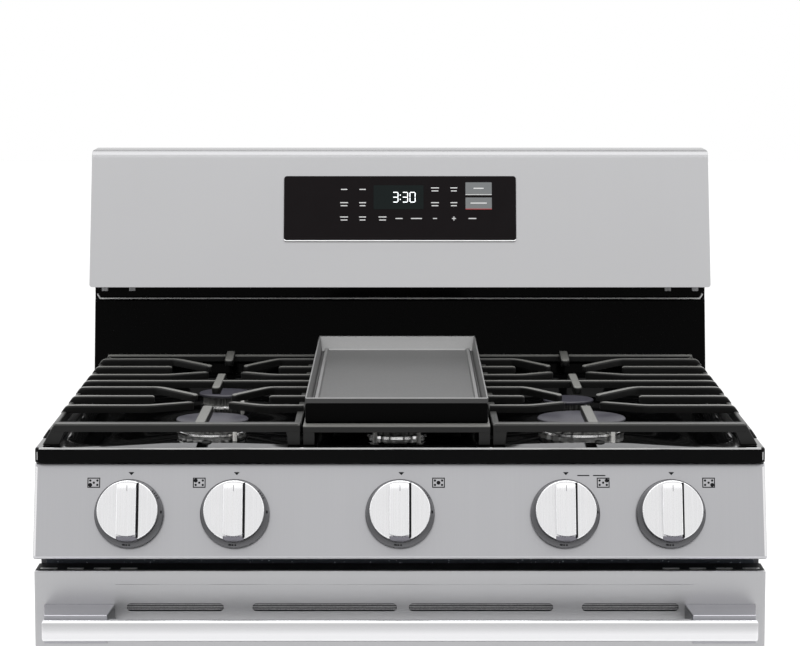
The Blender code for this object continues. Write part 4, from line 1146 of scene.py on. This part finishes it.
def knob(name, x):
    """A knob: a dark skirt with dial marks, a bright disc and a grip with a painted shadow strip beside it
    and painted shade on its cut end.
    """
    at = ON_PANEL @ Matrix.Translation((x, 0, 0))

    def part(label, mesh, finish, stands_for=()):
        piece(f"{label}_{name}", mesh, finish, stands_for, at, body=f"knob_{name}")

    def disc(radius):
        return prism(circle(radius, 72), "Z", 0.01, 0.05)

    part("skirt", turned([(0, 0.0038), (0.0350, 0.0038), (0.0359, 0.0044), (0.0359, 0.0058),
                          (0.0350, 0.0068), (0.0325, 0.0078), (0.0300, 0.0082), (0, 0.0082)], 72), "gunmetal_and_painted_shade")
    part("knob_side", turned([(0, 0.0080), (0.0302, 0.0080), (0.0302, 0.0200), (0.0308, 0.0230),
                              (0, 0.0230)], 72), "gunmetal_and_painted_shade")
    face = turned([(0, 0.0226), (0.0306, 0.0226), (0.0314, 0.0236), (0.0315, 0.0250), (0.0311, 0.0260),
                   (0.0303, 0.0265), (0.0200, 0.0262), (0, 0.0261)], 96)
    notch = box((-0.0108, 0.0108), (-0.04, -0.0268), (0.0200, 0.03))
    part("knob_face", carve([face], [notch]), "knob_metal", [f"knob_{name}"])
    ridge = [(0.0262, 0.0318), (0.0285, 0.0300), (0.0300, 0.0258), (0.0300, 0.0235), (-0.0300, 0.0235),
             (-0.0300, 0.0333), (0.0200, 0.0328)]
    grip = cast(ridge, "X", (-0.0108, 0.0094), 0.0009, 3)
    part("knob_grip", carve([grip], (), [disc(0.0276)]), "knob_metal")
    end = prism([(-0.0240, 0.0272), (-0.0330, 0.0212), (-0.0330, 0.0120), (-0.0240, 0.0120)],
                "X", -0.0104, 0.0104)
    # painted shade: the grip's cut end, facing down, is a dark metal
    part("knob_end", carve([end], (), [disc(0.0314)]), "end_shade_and_line_metal")
    # painted shadow: a dark strip beside the grip stands for its shadow
    part("knob_grip_shadow", box((0.0093, 0.0117), (-0.0285, 0.0288), (0.0240, 0.02675)), "ink_and_painted_shadow")
    part("knob_line", box((-0.00025, 0.00025), (0.0190, 0.0262), (0.0320, 0.03300)), "end_shade_and_line_metal")
    ticks = [(angle, 0.0322, 0.0346, 0.0004) for angle in (28, 33, 38, 43)]
    ticks += [(angle, 0.0326, 0.0342, wide) for angle, wide in
              ((2, 0.0014), (-88, 0.0008), (-93, 0.0008), (-98, 0.0014))]
    dial = []
    for angle, near, far, wide in ticks:
        tick = box((near, far), (-wide, wide), (0.0060, 0.0078))
        dial.append(moved(tick, Matrix.Rotation(math.radians(angle), 4, "Z")))
    part("knob_marks", joined(dial), "ink_and_painted_shadow")


# Door and drawer

WINDOW = ((-0.270, 0.270), (0.335, 0.645))
BAR_HALF = 0.365
BAR_Z = (0.732, 0.754)
SLOTS = ((0.0062, 0.1562), (0.1858, 0.2867))
SLOT_Z = (0.7506, 0.7589)


def door_slots():
    """The vents' limits across the door; the row sits a little to the right of the door's middle."""
    shift = 0.0029
    for low, high in SLOTS:
        yield low + shift, high + shift
        yield shift - high, shift - low


def hinge_slot(side):
    x = side * HINGE_X
    return box(span(x, 0.0026), (HINGE_Y - 0.0075, HINGE_Y + 0.04), (0.20, HINGE_Z + 0.009))


def door():
    """The door's skin with round-ended vents, its black top, the window and the liner."""
    outer = softened(box((-HALF, HALF), (DOOR_FACE_Y, DOOR_BACK_Y), DOOR_Z), 0.0022, 4)
    foot, top = DOOR_Z
    hollow = box((SHEET - HALF, HALF - SHEET), (DOOR_FACE_Y + SHEET, 0), (foot + SHEET, top - SHEET))
    window = moved(prism(rounded(*WINDOW, 0.008, 6), "Z", -0.02, 0.02), ON_DOOR)
    cuts = [hollow, window, hinge_slot(-1), hinge_slot(1)]
    middle = sum(SLOT_Z) / 2
    end_radius = (SLOT_Z[1] - SLOT_Z[0]) * 0.49
    for x in door_slots():
        cuts.append(moved(prism(rounded(x, SLOT_Z, end_radius, 6), "Z", -0.02, 0.02), ON_DOOR))
    # the door's steel carries painted shade
    piece("door_shell", carve([outer], cuts), "shaded_door_steel", ["door_skin"], body="door")

    def inlay(name, mesh, finish):
        piece(f"door_{name}", mesh, finish, body="door")

    cover = box((0.0012 - HALF, HALF - 0.0012), (DOOR_FACE_Y + 0.0022, DOOR_BACK_Y),
                (top - 0.004, top + GAP))
    inlay("top", softened(cover, 0.0003, 2), "ink_and_painted_shadow")
    vents = []
    for side in (-1, 1):
        for k in range(4):
            x = side * (0.3650 - k * 0.0277)
            vent = rounded(span(x, 0.0088), (DOOR_FACE_Y + 0.0060, DOOR_FACE_Y + 0.0125), 0.002, 3)
            vents.append(prism(vent, "Z", top, top + 0.0007))
    inlay("top_vents", joined(vents), "aluminium")
    depth = DOOR_FACE_Y + 0.0030
    backing = [box(grown(x, 0.004), (depth, depth + 0.0006), grown(SLOT_Z, 0.004)) for x in door_slots()]
    inlay("vent_backing", joined(backing), "ink_and_painted_shadow")
    wires = [box(x, (depth - 0.0008, depth + 0.0001), span(z, 0.0007))
             for x in door_slots() for z in (middle - 0.0024, middle, middle + 0.0024)]
    inlay("vent_mesh", joined(wires), "vent_mesh")
    crease = [(x, DOOR_FACE_Y + 0.00005, 0.7788) for x in (-0.295, 0.305)]
    inlay("crease", tube(crease, 0.00035, 6), "shaded_door_steel")
    outside, inside = ([grown(limits, by) for limits in WINDOW] for by in (0.002, -0.008))
    border = prism(rounded(*outside, 0.010, 6), "Z", -0.0035, 0.0006)
    sight = prism(rounded(*inside, 0.006, 6), "Z", -0.02, 0.02)
    bezel = softened(carve([border], [sight]), 0.0004, 2, 60)
    inlay("bezel", moved(bezel, ON_DOOR), "black_plastic")
    dress("door_window", "door_glass", 0.0004)
    dress("door_liner", "oven_enamel", 0.0008)
    dress("door_inner_glass", "inner_glass", 0.0006)
    places = [(x, DOOR_BACK_Y + 0.0024, z) for x in (-0.355, 0.355) for z in (0.27, 0.515, 0.765)]
    screws("liner_screws", places, BACK, "door")


def handle():
    """The flat bright bar across two wedge-shaped brackets; the bar carries painted reflection bands, the
    brackets painted light on their tops and painted shade on their inner ends.
    """
    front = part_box("door_handle")[0].y
    bar = softened(box(span(0, BAR_HALF), (front, front + 0.012), BAR_Z), 0.0030, 5)
    piece("handle_bar", bar, "handle_metal", ["door_handle"], body="door")
    for name, side in SIDES:
        outline = [(side * 0.3692, DOOR_FACE_Y - GAP), (side * 0.2962, DOOR_FACE_Y - GAP),
                   (side * 0.2990, front + 0.0085), (side * 0.3635, front + 0.0085)]
        bracket = softened(prism(outline, "Z", 0.7285, 0.7580), 0.0010, 3)
        # the bracket's steel carries painted light on its top
        piece(f"handle_bracket_{name}", bracket, "bracket_steel_painted_light", body="door")
        # painted shade: a dark plate on each bracket's inner end stands for the shade seen there
        inner = [(side * 0.2963, DOOR_FACE_Y - 0.0016), (side * 0.2957, DOOR_FACE_Y - 0.0016),
                 (side * 0.2983, front + 0.0125), (side * 0.2989, front + 0.0125)]
        piece(f"handle_bracket_shade_{name}", prism(inner, "Z", 0.7300, 0.7566), "gunmetal_and_painted_shade",
              body="door")


def oven_seal():
    """The woven seal round the oven's mouth."""
    y = FLANGE_Y - 0.0022
    path = [Vector((u, y, v)) for u, v in rounded((-0.322, 0.322), (0.285, 0.783), 0.02, 6)]
    loops = []
    for k, here in enumerate(path):
        heading = (path[(k + 1) % len(path)] - path[k - 1]).normalized()
        out = Vector((heading.z, 0, -heading.x))
        loops.append([here + out * u + Vector((0, v, 0)) for u, v in circle(0.0022, 8)])
    piece("oven_seal", lofted(loops, closed=True), "gasket")


def drawer():
    """The drawer's stainless front with a finger fold along its top, on its zinc box."""
    low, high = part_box("drawer_front")
    slab = softened(box((low.x, high.x), (low.y, high.y), (low.z, high.z)), 0.0022, 4)
    edge = 0.012
    pocket = box((low.x + edge, high.x - edge), (low.y + 0.002, 0), (low.z + edge, high.z - edge))
    front, back, over = low.y - 0.01, low.y + 0.006, high.z + 0.01
    fold = prism([(front, high.z - 0.010), (back, high.z - 0.004), (back, over), (front, over)],
                 "X", -0.30, 0.30)
    piece("drawer_panel", carve([slab], [pocket, fold]), "shaded_door_steel",
          ["drawer_front"], body="drawer")
    dress("drawer_box", "zinc_sheet", 0.0004)


# Oven

def rack(name):
    """A chromed wire rack: a heavy rim with round corners, close wires and two cross bars."""
    low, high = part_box(name)
    rim = 0.0026
    mid = (low.z + high.z) / 2
    x0, x1, y0, y1 = low.x + rim, high.x - rim, low.y + rim, high.y - rim

    def wire(start, end, drop=0.0, radius=rim, sides=8):
        return tube([(*start, mid - drop), (*end, mid - drop)], radius, sides)

    wires = [wire((x0, y0), (x1, y0)), wire((x0, y1), (x1, y1)), wire((x0, y0), (x0, y1)),
             wire((x1, y0), (x1, y1))]
    ball = [(0, mid - rim), (rim * 0.7, mid - rim * 0.7), (rim, mid), (rim * 0.7, mid + rim * 0.7),
            (0, mid + rim)]
    wires += [turned(ball, 8, corner) for corner in ((x0, y0), (x1, y0), (x0, y1), (x1, y1))]
    spaces = 26
    for k in range(1, spaces):
        x = x0 + (x1 - x0) * k / spaces
        wires.append(wire((x, y0), (x, y1), -0.0006, 0.0016, 6))
    for y in (y0 + (y1 - y0) * 0.33, y0 + (y1 - y0) * 0.67):
        wires.append(wire((x0, y), (x1, y), 0.0010, 0.0018, 6))
    piece(f"{name}_wires", joined(wires), "steel", [name], body=name)


def oven():
    """The oven's finishes, its seal, lamp, screws and racks."""
    for node, finish, width in (
        ("oven_liner", "oven_enamel", 0.0006), ("fan_cover", "oven_enamel", 0.0006),
        ("convection_fan", "steel", 0.0003), ("broil_burner", "steel", 0.0006),
        ("bake_burner", "aluminium", 0.0005),
    ):
        dress(node, finish, width)
    oven_seal()
    screws("fan_cover_screws", [(x, 0.170, z) for x in (-0.098, 0.098) for z in (0.445, 0.640)],
           FRONT, "body")
    lamp = turned([(0, 0), (0.024, 0), (0.024, 0.003), (0.021, 0.0045), (0.0185, 0.005),
                   (0.016, 0.012), (0.009, 0.016), (0, 0.017)], 32)
    piece("oven_lamp", lamp, "lamp_glass", at=Matrix.Translation((-0.225, 0.2148, 0.690)) @ FRONT)
    for name in ("rack_upper", "rack_lower"):
        rack(name)


# Body, gas parts, back and feet

def body_parts():
    """The side panels, frame, feet, gas parts, and the back with its screws."""
    for name, side in SIDES:
        dress(f"side_panel_{name}", "side_paint", 0.0005)
        dress(f"hinge_{name}", "steel", 0.0003)
        for end in ("front", "rear"):
            dress(f"foot_{end}_{name}", "black_plastic", 0.0008)
        places = [(side * (HALF - 0.002), y, z) for y in (-0.235, 0.34) for z in (0.07, 0.87)]
        outwards = Matrix.Rotation(side * math.pi / 2, 4, "Y")
        screws(f"side_screws_{name}", places, outwards, "body", "black_plastic", 0.004)
    dress("back_panel", "zinc_sheet", 0.0004)
    dress("base_frame", "black_plastic", 0.0008)
    dress("gas_manifold", "aluminium", 0.0006)
    dress("gas_regulator", "brass", 0.0008)
    for name in KNOBS:
        dress(f"burner_valve_{name}", "brass", 0.0004)
        dress(f"valve_stem_{name}", "steel", 0.0002)
    rear = REAR_Y - SHEET - 0.0003
    places = [(x, rear, 0.12 + k * 0.18) for x in (-0.355, 0.355) for k in range(5)]
    places += [(x, REAR_Y - 0.0002, 1.05) for x in (-0.35, -0.12, 0.12, 0.35)]
    screws("back_screws", places, BACK, "body", "steel", 0.0035)


def main():
    make_looks()
    studio()
    guard()
    display()
    riser()
    cooktop()
    for place in burner_places():
        burner(*place)
    centre_burner()
    for name, side in SIDES:
        side_grate(name, side)
    centre_grate()
    griddle()
    control_panel()
    for name, x in KNOBS.items():
        knob(name, x)
    door()
    handle()
    drawer()
    oven()
    body_parts()


main()
